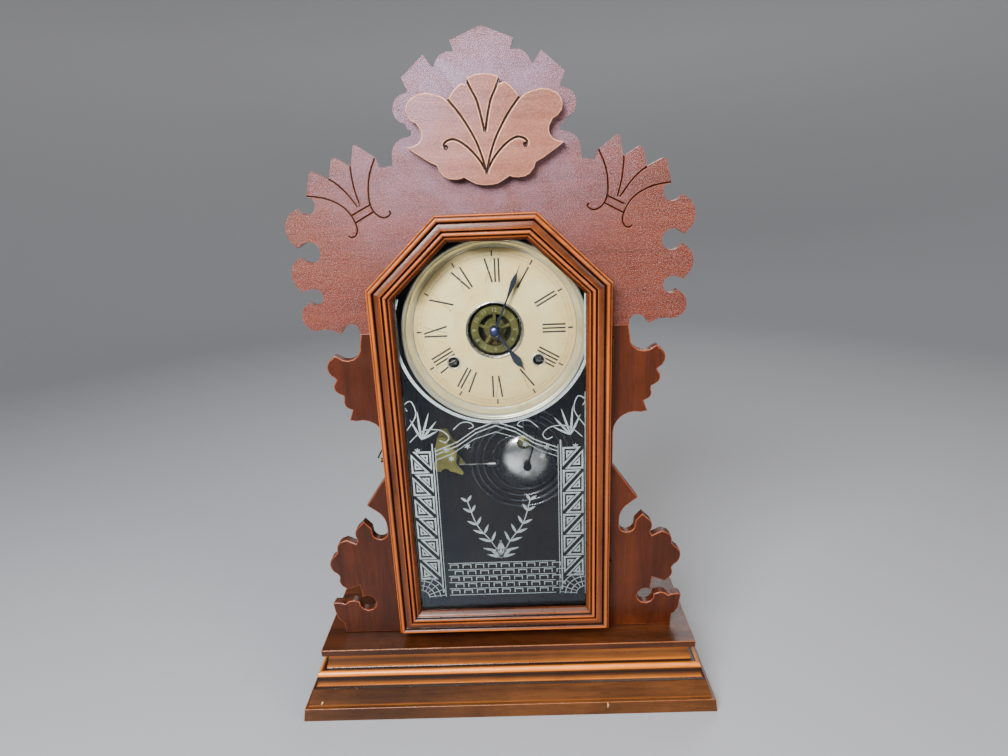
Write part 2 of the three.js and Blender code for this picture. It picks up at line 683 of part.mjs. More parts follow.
function pivotHole([x, z], radius) {
  return circle(x, dialZ + z, radius + runningGap, 12);
}
const plateOutline = box(-plateHalfWidth, plateHalfWidth, dialZ - plateBelow, dialZ + plateAbove);
const frontHoles = [
  pivotHole(centre, minuteArborRadius),
  pivotHole(timeArbor, windingNeck), pivotHole(strikeArbor, windingNeck),
  pivotHole(secondWheel.at, pivot), pivotHole(strikePinion.at, pivot), pivotHole(minuteWheel.at, pivot),
  pivotHole(escapeAt, pivot),
];
const rearHoles = [
  pivotHole(centre, pivot), pivotHole(timeArbor, rearPivot), pivotHole(strikeArbor, rearPivot),
  pivotHole(secondWheel.at, pivot), pivotHole(strikePinion.at, pivot), pivotHole(escapeAt, pivot),
];
const rodY = plateFront - 7.4;     // the pendulum rod's plane
const crutchFront = plateFront - 6.1;
const suspensionStud = 2;
const vergePin = 1;
piece('movement_front_plate', joined(
  slab(plateOutline, plateFront, plateBack, frontHoles),
  rod(suspensionStud, rodY - 1.2, plateFront + 0.5, pendulumX, dialZ + pendulumAnchor),
  rod(vergePin, crutchFront, plateFront + 0.5, vergeAt[0], dialZ + vergeAt[1]),
), brass);

const hammerX = 38;
const hammerZ = dialZ - 56.7;
const hammerY = plateBack + 0.285 * movementSpan;
const hammerArbor = 1.4;
const earHalf = 7;
const ears = [-1, 1].map((side) => {
  const inner = hammerX + side * earHalf;
  const outer = inner + side * plateThickness;
  const [low, high] = side < 0 ? [outer, inner] : [inner, outer];
  return block(low, high, hammerY - 3, rearPlateFront + 0.5, hammerZ - 4, hammerZ + 4);
});
const pillars = postAt.map(([x, z]) => rod(3, plateBack + gap, rearPlateFront + 0.5, x, dialZ + z));
const feet = postAt.map(([x, z]) => rod(4, rearPlateBack - 0.5, panelFront - gap, x, dialZ + z));
piece('movement_rear_plate', joined(
  slab(plateOutline, rearPlateFront, rearPlateBack, rearHoles), ...pillars, ...feet, ...ears,
), brass);

// ---------- going train ----------
const endShake = 0.3;
const betweenFront = plateBack + endShake;
const betweenRear = rearPlateFront - endShake;
const pivotRear = rearPlateBack - 0.2;
const pivotFront = plateFront + 0.2;
const handTip = paperFront - 8.2;
const hubRear = plateFront - 2.8;
const greatFront = plateBack + 1.8;
const greatBack = greatFront + 1.5;
const springFront = greatBack + 1.6;
const springBack = rearPlateFront - 5;
const secondFront = rearPlateFront - 3.4;
const secondBack = secondFront + 1.2;

const centreProfile = [
  [0, handTip], [1.5, handTip], [1.5, hubRear],
  [minuteArborRadius, hubRear], [minuteArborRadius, betweenFront],
  [3, betweenFront], [3, betweenRear], [pivot, betweenRear], [pivot, pivotRear], [0, pivotRear],
];
piece('centre_arbor', joined(
  turned(centreProfile, 0, dialZ, 20),
  gear(cannonPinion, plateFront - 2.4, plateFront - 0.8),
  gear(centrePinion, secondFront - 0.8, secondBack + 0.8),
), steel);

function plainArbor([x, z], radius = arborRadius) {
  const profile = [
    [0, pivotFront], [pivot, pivotFront], [pivot, betweenFront], [radius, betweenFront],
    [radius, betweenRear], [pivot, betweenRear], [pivot, pivotRear], [0, pivotRear],
  ];
  return turned(profile, x, dialZ + z, 12);
}
piece('second_wheel', joined(
  plainArbor(secondWheel.at), gear(secondWheel, secondFront, secondBack),
  gear(secondPinion, greatFront - 0.8, greatBack + 0.8),
), brass);

const strikeWheel = { teeth: 40, module: secondModule, at: strikePinion.at, phase: 0 };
const pinCircle = 13;
const liftingPins = [0, 1, 2, 3].map((pin) => {
  const angle = pin * Math.PI / 2;
  const x = strikeWheel.at[0] + pinCircle * Math.cos(angle);
  const z = dialZ + strikeWheel.at[1] + pinCircle * Math.sin(angle);
  return rod(0.8, secondFront - 1.3, secondFront + 0.4, x, z, 8);
});
piece('strike_wheel', joined(
  plainArbor(strikePinion.at), gear(strikeWheel, secondFront, secondBack),
  gear(strikePinion, greatFront - 0.8, greatBack + 0.8), ...liftingPins,
), brass);

for (const [name, wheel] of [['time', greatTime], ['strike', greatStrike]]) {
  const [x, z] = [wheel.at[0], dialZ + wheel.at[1]];
  const squareHalf = 2;
  const arborProfile = [
    [0, plateFront - 1], [windingNeck, plateFront - 1], [windingNeck, springFront - gap],
    [windingCore, springFront - gap], [windingCore, springBack + gap], [arborRadius, springBack + gap],
    [arborRadius, betweenRear], [rearPivot, betweenRear], [rearPivot, pivotRear], [0, pivotRear],
  ];
  piece(`winding_arbor_${name}`, joined(
    turned(arborProfile, x, z, 20),
    block(x - squareHalf, x + squareHalf, panFront + 0.6, plateFront, z - squareHalf, z + squareHalf),
  ), steel);
  piece(`great_wheel_${name}`, gear(wheel, greatFront, greatBack, windingNeck + gap), brass);
  const spring = tube(windingCore + gap, mainspringRadius, springFront, springBack, x, z, 32);
  piece(`mainspring_${name}`, spring, steel);
}

// ---------- motion work and hands ----------
const pipeInner = 1.8;
const pipeOuter = 2.9;
const hourWheelFront = plateFront - 5.8;
const hourWheelBack = hourWheelFront + 1;
const hourHandBack = paperFront - 3.2;
const handThickness = 0.8;
piece('hour_wheel', joined(
  gear(hourWheel, hourWheelFront, hourWheelBack, pipeInner),
  tube(pipeInner, pipeOuter, hourHandBack - handThickness - 0.5, hourWheelBack, 0, dialZ),
), brass);
const minuteProfile = [
  [0, hourWheelFront - 0.6], [1, hourWheelFront - 0.6], [1, plateFront - endShake],
  [pivot, plateFront - endShake],
  [pivot, plateBack - 0.2], [0, plateBack - 0.2],
];
piece('minute_wheel', joined(
  turned(minuteProfile, minuteWheel.at[0], dialZ + minuteWheel.at[1], 16),
  gear(minuteWheel, plateFront - 2.2, plateFront - 1.2),
  gear(minutePinion, hourWheelFront - 0.4, hourWheelBack + 0.4),
), brass);

function hand(halfOutline, bore, degrees, front, material, name) {
  const turn = -degrees * radians;
  const spin = ([x, z]) => [
    x * Math.cos(turn) - z * Math.sin(turn), dialZ + x * Math.sin(turn) + z * Math.cos(turn),
  ];
  const outline = mirrored(halfOutline).map(spin);
  piece(name, slab(outline, front, front + handThickness, [circle(0, dialZ, bore, 20)]), material);
}
const minuteHalf = [
  [0, minuteHandLength], [0.5, 51], [1.7, 47], [2.3, 43], [1.6, 38], [0.7, 30], [0.9, 8],
  ...arc(0, 0, 3.6, 70, -90, 8),
].map(([x, z]) => [x, z > 8 ? z * minuteHandLength / 60 : z]);
const hourHalf = [
  [0, hourHandLength], [0.7, 38], [2.4, 35], [3.4, 31], [2.6, 27], [0.9, 20], [1.1, 8],
  ...arc(0, 0, 4.6, 70, -90, 8),
].map(([x, z]) => [x, z > 8 ? z * hourHandLength / 43 : z]);
hand(minuteHalf, 1.8, minuteHandAngle, handTip + 0.8, bluedSteel, 'minute_hand');
hand(hourHalf, pipeOuter + gap, hourHandAngle, hourHandBack - handThickness, bluedSteel, 'hour_hand');

const alarmRadius = centreOpening - 2.1;
const alarmSpokes = 5;
const spokeHalf = 1.2;
const windowInner = 5.4;
const windowOuter = 13.2;
const alarmWindows = [];
for (let spoke = 0; spoke < alarmSpokes; spoke += 1) {
  const middle = 90 + (spoke + 0.5) * 360 / alarmSpokes;
  const innerHalf = 180 / alarmSpokes - Math.asin(spokeHalf / windowInner) / radians;
  const outerHalf = 180 / alarmSpokes - Math.asin(spokeHalf / windowOuter) / radians;
  alarmWindows.push([
    ...arc(0, dialZ, windowOuter, middle - outerHalf, middle + outerHalf, 6),
    ...arc(0, dialZ, windowInner, middle + innerHalf, middle - innerHalf, 3),
  ]);
}
const alarmHoles = [circle(0, dialZ, pipeOuter + gap, 20), ...alarmWindows];
const alarmFront = panFront + 0.1;
piece('alarm_disc', slab(circle(0, dialZ, alarmRadius, 48), alarmFront, alarmFront + 0.8, alarmHoles), brass);

// ---------- escapement and pendulum ----------
const escapeTeeth = 15;
const escapeTip = 14;
const escapeRoot = 10.5;
const escapeFront = plateFront - 4.8;
const escapePitch = 2 * Math.PI / escapeTeeth;
const toothPhase = 90 * radians + escapePitch / 2;
const escapeOutline = [];
for (let tooth = 0; tooth < escapeTeeth; tooth += 1) {
  for (const [share, radius] of [[-0.38, escapeRoot], [0, escapeTip], [0.08, escapeRoot]]) {
    const angle = toothPhase + (tooth + share) * escapePitch;
    const [x, z] = [radius * Math.cos(angle), radius * Math.sin(angle)];
    escapeOutline.push([escapeAt[0] + x, dialZ + escapeAt[1] + z]);
  }
}
const escapeProfile = [
  [0, escapeFront - 0.2], [1.2, escapeFront - 0.2], [1.2, plateFront - endShake],
  [pivot, plateFront - endShake],
  [pivot, betweenFront], [arborRadius, betweenFront], [arborRadius, betweenRear], [pivot, betweenRear],
  [pivot, pivotRear], [0, pivotRear],
];
piece('escape_wheel', joined(
  turned(escapeProfile, escapeAt[0], dialZ + escapeAt[1], 16),
  slab(escapeOutline, escapeFront, escapeFront + 1),
), brass);

const vergeRise = vergeAt[1] - escapeAt[1];
const vergeHalf = [
  [0, vergeRise + 3.2], [4, vergeRise + 3.2], [12.6, 14.5], [14.8, 8.5], [12.7, 7.3], [10.9, 12.6], [3, 16.2],
];
const vergeOutline = mirrored(vergeHalf);
const crutchReach = 36;
const crutchFoot = vergeRise - crutchReach;
const prongInner = 1.5;
const prongOuter = 2.3;
const vergeBody = joined(
  slab(place(vergeOutline, escapeAt[0], dialZ + escapeAt[1]), escapeFront - 0.3, escapeFront + 1.3),
  rod(2.4, crutchFront, escapeFront + 1.3, vergeAt[0], dialZ + vergeAt[1]),
  block(pendulumX - 0.4, pendulumX + 0.4, crutchFront, crutchFront + 0.7,
    dialZ + escapeAt[1] + crutchFoot, dialZ + vergeAt[1] - 1.6),
  block(pendulumX - prongOuter, pendulumX + prongOuter, crutchFront, crutchFront + 0.7,
    dialZ + escapeAt[1] + crutchFoot - 0.6, dialZ + escapeAt[1] + crutchFoot + 0.6),
  ...[-1, 1].map((side) => block(
    pendulumX + Math.min(side * prongInner, side * prongOuter),
    pendulumX + Math.max(side * prongInner, side * prongOuter),
    rodY - 1.3, crutchFront + 0.7,
    dialZ + escapeAt[1] + crutchFoot - 0.6, dialZ + escapeAt[1] + crutchFoot + 0.6,
  )),
);
const vergeHole = rod(vergePin + runningGap, crutchFront - 1, plateFront, vergeAt[0], dialZ + vergeAt[1]);
piece('verge', cut(vergeBody, vergeHole), steel);

const rodRadius = 0.7;
const anchorZ = dialZ + pendulumAnchor;
const bobZ = anchorZ - pendulumReach;
const eyeInner = suspensionStud + gap;
const rodLength = pendulumReach - bobRadius - gap - eyeInner - 0.6;
const rodMiddle = anchorZ - eyeInner - 0.6 - rodLength / 2;
const straightRod = new THREE.CylinderGeometry(rodRadius, rodRadius, rodLength, 10);
piece('pendulum_rod', joined(
  tube(eyeInner, eyeInner + 1.3, rodY - 0.8, rodY + 0.8, pendulumX, anchorZ, 20),
  straightRod.rotateX(Math.PI / 2).translate(pendulumX, rodY, rodMiddle),
), steel);
const bobProfile = [
  [0, rodY - 1.6], [3.4, rodY - 1.4], [bobRadius - 0.5, rodY - 0.6], [bobRadius, rodY],
  [bobRadius - 0.5, rodY + 0.6], [3.4, rodY + 1.4], [0, rodY + 1.6],
];
piece('pendulum_bob', turned(bobProfile, pendulumX, bobZ, 20), brass);

// ---------- strike hammer, bell and gong ----------
const ballRadius = 4;
const ballY = plateBack + 0.182 * movementSpan;
const bellZ = dialZ - gongDrop + 1;
const ball = new THREE.SphereGeometry(ballRadius, 12, 8).translate(bellX + 0.2, ballY, bellZ - 0.2);
const hammerWire = wire([
  [bellX + 0.2, ballY, bellZ], [bellX + 7.3, ballY, bellZ + 25.3],
  [hammerX - 2, ballY + 2, bellZ + 54], [hammerX, hammerY, hammerZ],
], 0.8, 10, 6);
piece('strike_hammer', joined(
  ball, hammerWire, across(hammerArbor, hammerX - earHalf + gap, hammerX + earHalf - gap, hammerY, hammerZ),
), castIron);

const bellApex = ballY + ballRadius + 0.8;
const bellDepth = 0.19 * movementSpan;
const bellRim = bellApex + bellDepth;
const bellHole = 3.3;
function dome(radius, reach, fromDegrees, toDegrees) {
  const quarter = arc(0, 0, 1, fromDegrees, toDegrees, 5);
  return quarter.map(([share, rise]) => [radius * share, bellRim - reach * rise]);
}
const bellStart = Math.acos(bellHole / bellRadius) / radians;
const bellInnerStart = Math.acos(bellHole / (bellRadius - bellWall)) / radians;
const bellProfile = [
  ...dome(bellRadius, bellDepth, bellStart, 0),
  ...dome(bellRadius - bellWall, bellDepth - bellWall, 0, bellInnerStart),
];
piece('bell', turned([...bellProfile, bellProfile[0]], bellX, bellZ, 28), nickel);

const gongY = plateBack + 0.596 * movementSpan;
const gongZ = dialZ - gongDrop;
const gongBlock = 8;
const postRadius = 3;
piece('gong_base', joined(
  block(
    gongX - gongBlock, gongX + gongBlock, gongY - 3, panelFront - gap, gongZ - gongBlock, gongZ + gongBlock,
  ),
  rod(5, bellApex + bellWall + gap + 0.3, gongY - 2.5, bellX, bellZ, 20),
  rod(postRadius, bellApex, gongY - 2.5, bellX, bellZ, 20),
), castIron);

// The gong is one flat coil of wire: straight out of its block, round a bend, then a spiral whose
// pitch settles to a steady value.
const gongTurns = 4.25;
const leadBend = 6;
const leadStart = gongBlock + gap;
const bendX = leadStart + gongWire + leadBend;
const spiralStart = Math.atan2(leadBend, bendX);
const spiralRadius = Math.hypot(bendX, leadBend);
const steadySlope = gongPitch / (2 * Math.PI);
const settle = 2;
const extraSlope = spiralRadius * Math.tan(spiralStart) - steadySlope;
class GongCurve extends THREE.Curve {
  constructor() {
    super();
    this.points = [[leadStart, 0], [leadStart + gongWire, 0]];
    for (let step = 1; step <= 5; step += 1) {
      const angle = step / 6 * Math.PI / 2;
      this.points.push([leadStart + gongWire + leadBend * Math.sin(angle), leadBend * (1 - Math.cos(angle))]);
    }
    const steps = Math.round(gongTurns * 24);
    for (let step = 0; step <= steps; step += 1) {
      const turn = step / 24 * 2 * Math.PI;
      const radius = spiralRadius + steadySlope * turn + extraSlope * settle * (1 - Math.exp(-turn / settle));
      this.points.push([radius * Math.cos(spiralStart + turn), radius * Math.sin(spiralStart + turn)]);
    }
  }

  getPoint(share, target = new THREE.Vector3()) {
    const place = share * (this.points.length - 1);
    const index = Math.min(Math.floor(place), this.points.length - 2);
    const [x0, z0] = this.points[index];
    const [x1, z1] = this.points[index + 1];
    const part = place - index;
    return target.set(gongX + x0 + (x1 - x0) * part, gongY, gongZ + z0 + (z1 - z0) * part);
  }

  getPointAt(share, target) {
    return this.getPoint(share, target);
  }

  getTangent(share, target = new THREE.Vector3()) {
    const half = 0.5 / (this.points.length - 1);
    const ahead = this.getPoint(Math.min(share + half, 1));
    return target.copy(ahead).sub(this.getPoint(Math.max(share - half, 0))).normalize();
  }

  getTangentAt(share, target) {
    return this.getTangent(share, target);
  }
}
const gongCurve = new GongCurve();
piece('gong_coil', wireAlong(gongCurve, gongWire / 2, gongCurve.points.length - 1, 6), steel);

function leastSelfGap(points, thickness) {
  let least = Infinity;
  points.forEach(([x, z], index) => {
    points.slice(index + 12).forEach(([otherX, otherZ]) => {
      least = Math.min(least, Math.hypot(x - otherX, z - otherZ) - thickness);
    });
  });
  return least;
}
console.log(`gong coil: least gap to itself ${leastSelfGap(gongCurve.points, gongWire).toFixed(2)} mm`);

// ---------- alarm ----------
const alarmRise = -140.7;          // the alarm plate's foot line below the dial centre
const alarmZ = dialZ + alarmRise;
const alarmY = plateBack + 0.273 * movementSpan;
const alarmBackY = alarmY + 0.43 * movementSpan;
const alarmOutline = [
  [-58, 36], [-61.5, 22], [-60, 15], [-64, 7], [-61, 2], ...arc(-52.5, 0, 4.5, 165, 20, 5),
  [-44, 0.5], [-37, -2.5], [-35.6, -0.5], [-42.5, 10], [-41, 21], [-46.5, 26], [-51, 36],
];
const strikerAt = [-42, 5];
const alarmPivots = [circle(strikerAt[0], alarmZ + strikerAt[1], pivot + runningGap, 12)];
const alarmSlab = (front) => slab(place(alarmOutline, 0, alarmZ), front, front + plateThickness, alarmPivots);
const alarmPosts = [[-56, 29], [-59.5, 7], [-45, 20]].map(
  ([x, z]) => rod(1.6, alarmY + 0.5, panelFront - gap, x, alarmZ + z, 12),
);
piece('alarm_movement', joined(
  alarmSlab(alarmY), alarmSlab(alarmBackY), ...alarmPosts,
  rod(7.4, alarmY + 4, alarmBackY - 2, -52.6, alarmZ + 13.5, 24),
  rod(1.6, alarmY + 0.5, alarmBackY + 0.5, -52.6, alarmZ + 13.5, 12),
), brass);
const strikerProfile = [
  [0, alarmY + 0.2], [pivot, alarmY + 0.2], [pivot, alarmY + plateThickness + gap],
  [1.5, alarmY + plateThickness + gap],
  [1.5, alarmBackY - gap], [pivot, alarmBackY - gap], [pivot, alarmBackY + 1], [0, alarmBackY + 1],
];
const strikerY = alarmY + 0.14 * movementSpan;
const strikerZ = alarmZ + strikerAt[1];
const headReach = bellX - bellRadius - 0.2;
piece('alarm_hammer', joined(
  turned(strikerProfile, strikerAt[0], strikerZ, 12),
  across(0.6, strikerAt[0], headReach - 6, strikerY, strikerZ),
  across(2.6, headReach - 8, headReach, strikerY, strikerZ),
), steel);

export default clock;
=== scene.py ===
# %% [markdown]
# # A fretted kitchen shelf clock
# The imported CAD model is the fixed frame: its bodies turn and swing, and every piece made here
# rides on one of them. Lengths of the clock are written in millimetres and multiplied by MM,
# because Blender works in metres. Only the studio round it is written in metres.

# %% Load the frame
import json
import math

import bmesh
import bpy
from mathutils import Matrix, Vector


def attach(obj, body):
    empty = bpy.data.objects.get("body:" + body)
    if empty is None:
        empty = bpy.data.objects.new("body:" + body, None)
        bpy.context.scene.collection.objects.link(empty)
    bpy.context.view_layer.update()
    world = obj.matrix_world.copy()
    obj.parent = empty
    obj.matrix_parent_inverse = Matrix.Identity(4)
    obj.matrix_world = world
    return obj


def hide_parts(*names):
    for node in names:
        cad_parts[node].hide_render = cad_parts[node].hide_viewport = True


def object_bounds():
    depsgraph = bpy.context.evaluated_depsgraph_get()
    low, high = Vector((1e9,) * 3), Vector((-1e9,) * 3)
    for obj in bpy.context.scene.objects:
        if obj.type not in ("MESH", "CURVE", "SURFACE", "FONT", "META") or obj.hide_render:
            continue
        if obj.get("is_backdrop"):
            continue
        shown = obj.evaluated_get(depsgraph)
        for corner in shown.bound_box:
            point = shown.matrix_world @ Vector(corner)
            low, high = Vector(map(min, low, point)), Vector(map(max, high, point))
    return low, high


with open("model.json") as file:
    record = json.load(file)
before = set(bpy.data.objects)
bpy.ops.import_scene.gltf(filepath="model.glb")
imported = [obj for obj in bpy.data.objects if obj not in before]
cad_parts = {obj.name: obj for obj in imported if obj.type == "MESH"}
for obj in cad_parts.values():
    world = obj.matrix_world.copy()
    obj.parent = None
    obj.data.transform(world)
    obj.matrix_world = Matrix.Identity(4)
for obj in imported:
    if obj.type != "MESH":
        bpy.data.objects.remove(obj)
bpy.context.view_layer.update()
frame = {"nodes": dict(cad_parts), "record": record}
MM = 0.001

# %% [markdown]
# ## The camera
# The picture was taken from half a metre away, a little above the dial, looking down at the clock.
# A camera object looks along its own -Z, so its matrix is built from three directions: forward
# from a turn and a dip, then right and down, which are rolled a little.

# %% The camera
SENSOR = 36.0
PICTURE_WIDTH = 1008
FOCAL_PIXELS = 626.665622
SHIFT_PIXELS = -2.5
CLIP_START = 0.02
EYE_PLACE = Vector((17.207, -507.951, 456.324)) * MM
turn, dip, roll = -0.0179806, 0.3018867, 0.0396141
forward = Vector((math.sin(turn) * math.cos(dip), math.cos(turn) * math.cos(dip), -math.sin(dip)))
level = Vector((math.cos(turn), -math.sin(turn), 0))
down = forward.cross(level)
right = math.cos(roll) * level + math.sin(roll) * down
down = math.cos(roll) * down - math.sin(roll) * level
eye = bpy.data.objects.new("eye", bpy.data.cameras.new("eye"))
eye.matrix_world = Matrix.Translation(EYE_PLACE) @ Matrix((
    (right.x, -down.x, -forward.x), (right.y, -down.y, -forward.y), (right.z, -down.z, -forward.z),
)).to_4x4()
eye.data.sensor_width = SENSOR
eye.data.lens = FOCAL_PIXELS / PICTURE_WIDTH * SENSOR
eye.data.shift_x = SHIFT_PIXELS / PICTURE_WIDTH
eye.data.clip_start = CLIP_START
bpy.context.scene.collection.objects.link(eye)
bpy.context.scene.camera = eye
print("lens", round(eye.data.lens, 2), "mm")

# %% [markdown]
# ## Mixing paints
# A finish is a small net of nodes. This class starts one, with the Principled shader at its end
# and the piece's own Object coordinates at its start, so that patterns keep their real size. Its
# methods add the few nodes that every finish below uses: noise, a ramp of colours, a mix, a sum
# and a bump. `wear` joins the results to the shader and hands the material back.

# %% Mixing paints
def paint(red, green, blue):
    """A colour as a paint card gives it, 0 to 255, turned into Blender's linear values."""
    def linear(value):
        share = value / 255
        return share / 12.92 if share <= 0.04045 else ((share + 0.055) / 1.055) ** 2.4
    return (linear(red), linear(green), linear(blue), 1)


class Finish:
    def __init__(self, name, **sockets):
        self.material = bpy.data.materials.new(name)
        self.material.use_nodes = True
        self.nodes = self.material.node_tree.nodes
        self.links = self.material.node_tree.links
        self.skin = self.nodes["Principled BSDF"]
        self.place = self.nodes.new("ShaderNodeTexCoord").outputs["Object"]
        for socket, value in sockets.items():
            self.skin.inputs[socket.replace("_", " ")].default_value = value

    def add(self, kind, inputs, **settings):
        node = self.nodes.new("ShaderNode" + kind)
        for setting, value in settings.items():
            setattr(node, setting, value)
        for socket, value in inputs.items():
            if isinstance(value, bpy.types.NodeSocket):
                self.links.new(value, node.inputs[socket])
            else:
                node.inputs[socket].default_value = value
        return node

    def stretched(self, scale, turn=0.0):
        inputs = {"Vector": self.place, "Scale": scale, "Rotation": (0, turn, 0)}
        return self.add("Mapping", inputs).outputs[0]

    def noise(self, scale, detail=3.0, rough=0.5, warp=0.0, at=None):
        inputs = {"Vector": at or self.place, "Scale": scale, "Detail": detail}
        inputs |= {"Roughness": rough, "Distortion": warp}
        return self.add("TexNoise", inputs).outputs["Fac"]

    def ramp(self, value, *stops):
        node = self.add("ValToRGB", {"Fac": value})
        bands = node.color_ramp.elements
        while len(bands) < len(stops):
            bands.new(0.5)
        for band, (position, colour) in zip(bands, stops):
            band.position = position
            band.color = colour if isinstance(colour, tuple) else (colour, colour, colour, 1)
        return node.outputs["Color"]

    def mix(self, share, first, second, kind="MIX"):
        # A Mix node has sockets for numbers, vectors and colours. These are the ones for colours.
        inputs = {0: share, 6: first, 7: second}
        return self.add("Mix", inputs, data_type="RGBA", blend_type=kind).outputs[2]

    def maths(self, kind, first, second=0.0):
        return self.add("Math", {0: first, 1: second}, operation=kind, use_clamp=True).outputs[0]

    def bump(self, height, depth, strength=1.0, below=None):
        inputs = {"Height": height, "Distance": depth, "Strength": strength}
        if below is not None:
            inputs["Normal"] = below
        return self.add("Bump", inputs).outputs["Normal"]

    def wear(self, **sockets):
        for socket, value in sockets.items():
            self.links.new(value, self.skin.inputs[socket.replace("_", " ")])
        return self.material


MIDDLE_GREY = 128
print("middle grey in linear light:", round(paint(MIDDLE_GREY, MIDDLE_GREY, MIDDLE_GREY)[0], 3))

# %% [markdown]
# ## Grain and painted sheen
# All the wood is walnut or stained to look like it, under old shellac. Three scales are mixed:
# wide bands of figure along the grain, fine pores, and slow patches where the varnish has
# darkened. The crest has more: a painted bluish sheen round one spot, which stands in for a
# reflection and stays fixed to the wood, and pale and dark specks in its pebbled varnish, which
# are painted glints and painted shade. The boards of the case are brown outside and painted in
# near-black shade inside, so a step function of the coordinates parts the two.

# %% Grain and painted sheen
GRAIN = {"X": (0.07, 1, 1), "Y": (1, 0.07, 1), "Z": (1, 1, 0.07)}
# The first colour is the bluish tint of a painted sheen, which stands in for a reflection.
SHEEN_TINT = paint(106, 92, 116)
# The two speck colours are a painted glint and a painted shade on the pebbled varnish.
GLINT_SPECK = paint(112, 90, 90)
SHADE_SPECK = paint(28, 12, 10)
CASE_HALF, CASE_BACK, CASE_TOP = 83.5, 60.3, 438


def grained(finish, along, dark, body, light, patchy):
    """The wood's colour, and its pores as a mask."""
    figure = finish.noise(75, 6, 0.62, 1.2, along)
    wide = finish.noise(14, 3, 0.5, 0.6, along)
    bands = finish.mix(0.45, figure, wide)
    colour = finish.ramp(bands, (0.3, paint(*dark)), (0.5, paint(*body)), (0.72, paint(*light)))
    pores = finish.ramp(finish.noise(900, 2, 0.6, 0.0, along), (0.34, 0.5), (0.46, 1.0))
    colour = finish.mix(0.55, colour, finish.mix(1.0, colour, pores, "MULTIPLY"))
    patches = finish.ramp(finish.noise(11, 4, 0.6, 0.4), (0.35, 1 - patchy), (0.6, 1.0))
    return finish.mix(1.0, colour, patches, "MULTIPLY"), pores


def bloomed(finish, colour, x, z, reach, strength):
    """A painted sheen, clouded, that fades out at a distance from one spot, standing in for a reflection."""
    away = finish.add("VectorMath", {0: finish.place, 1: (x * MM, 0, z * MM)}, operation="DISTANCE")
    share = finish.maths("MULTIPLY", away.outputs["Value"], 1 / (reach * MM))
    near = finish.ramp(share, (0.1, strength), (1.0, 0.0))
    cloud = finish.ramp(finish.noise(30, 6, 0.7, 0.8), (0.3, 0.2), (0.65, 1.0))
    return finish.mix(finish.mix(1.0, near, cloud, "MULTIPLY"), colour, SHEEN_TINT)


# Pale specks are painted glints on the pebbled varnish, and dark specks are painted shade.
def speckled(finish, colour, strength):
    specks = finish.noise(1300, 2, 0.6)
    colour = finish.mix(finish.ramp(specks, (0.52, 0.0), (0.66, strength)), colour, GLINT_SPECK)
    return finish.mix(finish.ramp(specks, (0.34, strength), (0.46, 0.0)), colour, SHADE_SPECK)


def dark_within(finish, colour, inside):
    """The colour outside the walls of the case, and painted near-black shade within them."""
    axes = finish.add("SeparateXYZ", {0: finish.place})
    aside = finish.add("Math", {0: axes.outputs["X"]}, operation="ABSOLUTE").outputs[0]
    outer = 0.0
    for value, limit in ((aside, CASE_HALF), (axes.outputs["Y"], CASE_BACK), (axes.outputs["Z"], CASE_TOP)):
        past = finish.add("Math", {0: value, 1: limit * MM}, operation="GREATER_THAN").outputs[0]
        outer = finish.maths("ADD", outer, past)
    return finish.mix(outer, finish.mix(0.85, colour, paint(*inside)), colour)


print("grain runs along:", *GRAIN)

# %% [markdown]
# ## Varnished walnut
# One recipe serves every wooden piece. Its gloss coat carries orange peel, the pebbled skin of
# old varnish. A mesh attribute named tone gilds the beads, with a painted highlight on their
# crowns and edges, and paints shade into the grooves where a moulding has them. The rim colour is
# pale both from rubbing and as a painted highlight along the edge. The mirror-like part of the
# shader is kept low, because the pale room would bleach the wood.

# %% Varnished walnut
# The colour of the painted shade in the grooves of a moulding.
GROOVE_SHADE = (12, 4, 2)
SHELLAC = {"Coat_Roughness": 0.18, "Specular_IOR_Level": 0.14}


def walnut(name, dark, body, light, grain="X", turn=0.0, gloss=0.36, peel=0.25, coat=0.16,
           bead=(152, 74, 18), worn_and_lit=None, sheen_spot=None, patchy=0.5, glint_specks=0.0, inside=None):
    finish = Finish(name, Coat_Weight=coat, **SHELLAC)
    along = finish.stretched(GRAIN[grain], turn)
    colour, pores = grained(finish, along, dark, body, light, patchy)
    if sheen_spot:
        colour = bloomed(finish, colour, *sheen_spot)
    if glint_specks:
        colour = speckled(finish, colour, glint_specks)
    # Rims are painted pale, both as rubbed wear and as a highlight along the edge.
    if worn_and_lit:
        rubbed = finish.ramp(finish.noise(260, 4, 0.7), (0.38, 0.25), (0.62, 0.9))
        colour = finish.mix(rubbed, colour, paint(*worn_and_lit))
    # Within the walls of the case the colour is painted near-black shade.
    if inside:
        colour = dark_within(finish, colour, inside)
    tone = finish.add("Attribute", {}, attribute_name="tone").outputs["Fac"]
    broken = finish.ramp(finish.noise(170, 5, 0.7, 0.5, along), (0.3, 0.35), (0.62, 1.0))
    # Where tone is high the bead colour gilds the wood with a painted highlight; where it is low, shade is
    # painted into the groove.
    colour = finish.mix(finish.maths("MULTIPLY", tone, broken), colour, paint(*bead))
    colour = finish.mix(finish.maths("MULTIPLY", tone, -1.0), colour, paint(*GROOVE_SHADE))
    shine = finish.ramp(finish.noise(60, 4, 0.6), (0.3, gloss - 0.07), (0.7, gloss + 0.1))
    normal = finish.bump(finish.noise(1300, 3, 0.6), 0.0006, peel)
    normal = finish.bump(pores, 0.0002, 0.25, normal)
    return finish.wear(Base_Color=colour, Roughness=shine, Normal=normal, Coat_Normal=normal)


print("shellac:", SHELLAC)
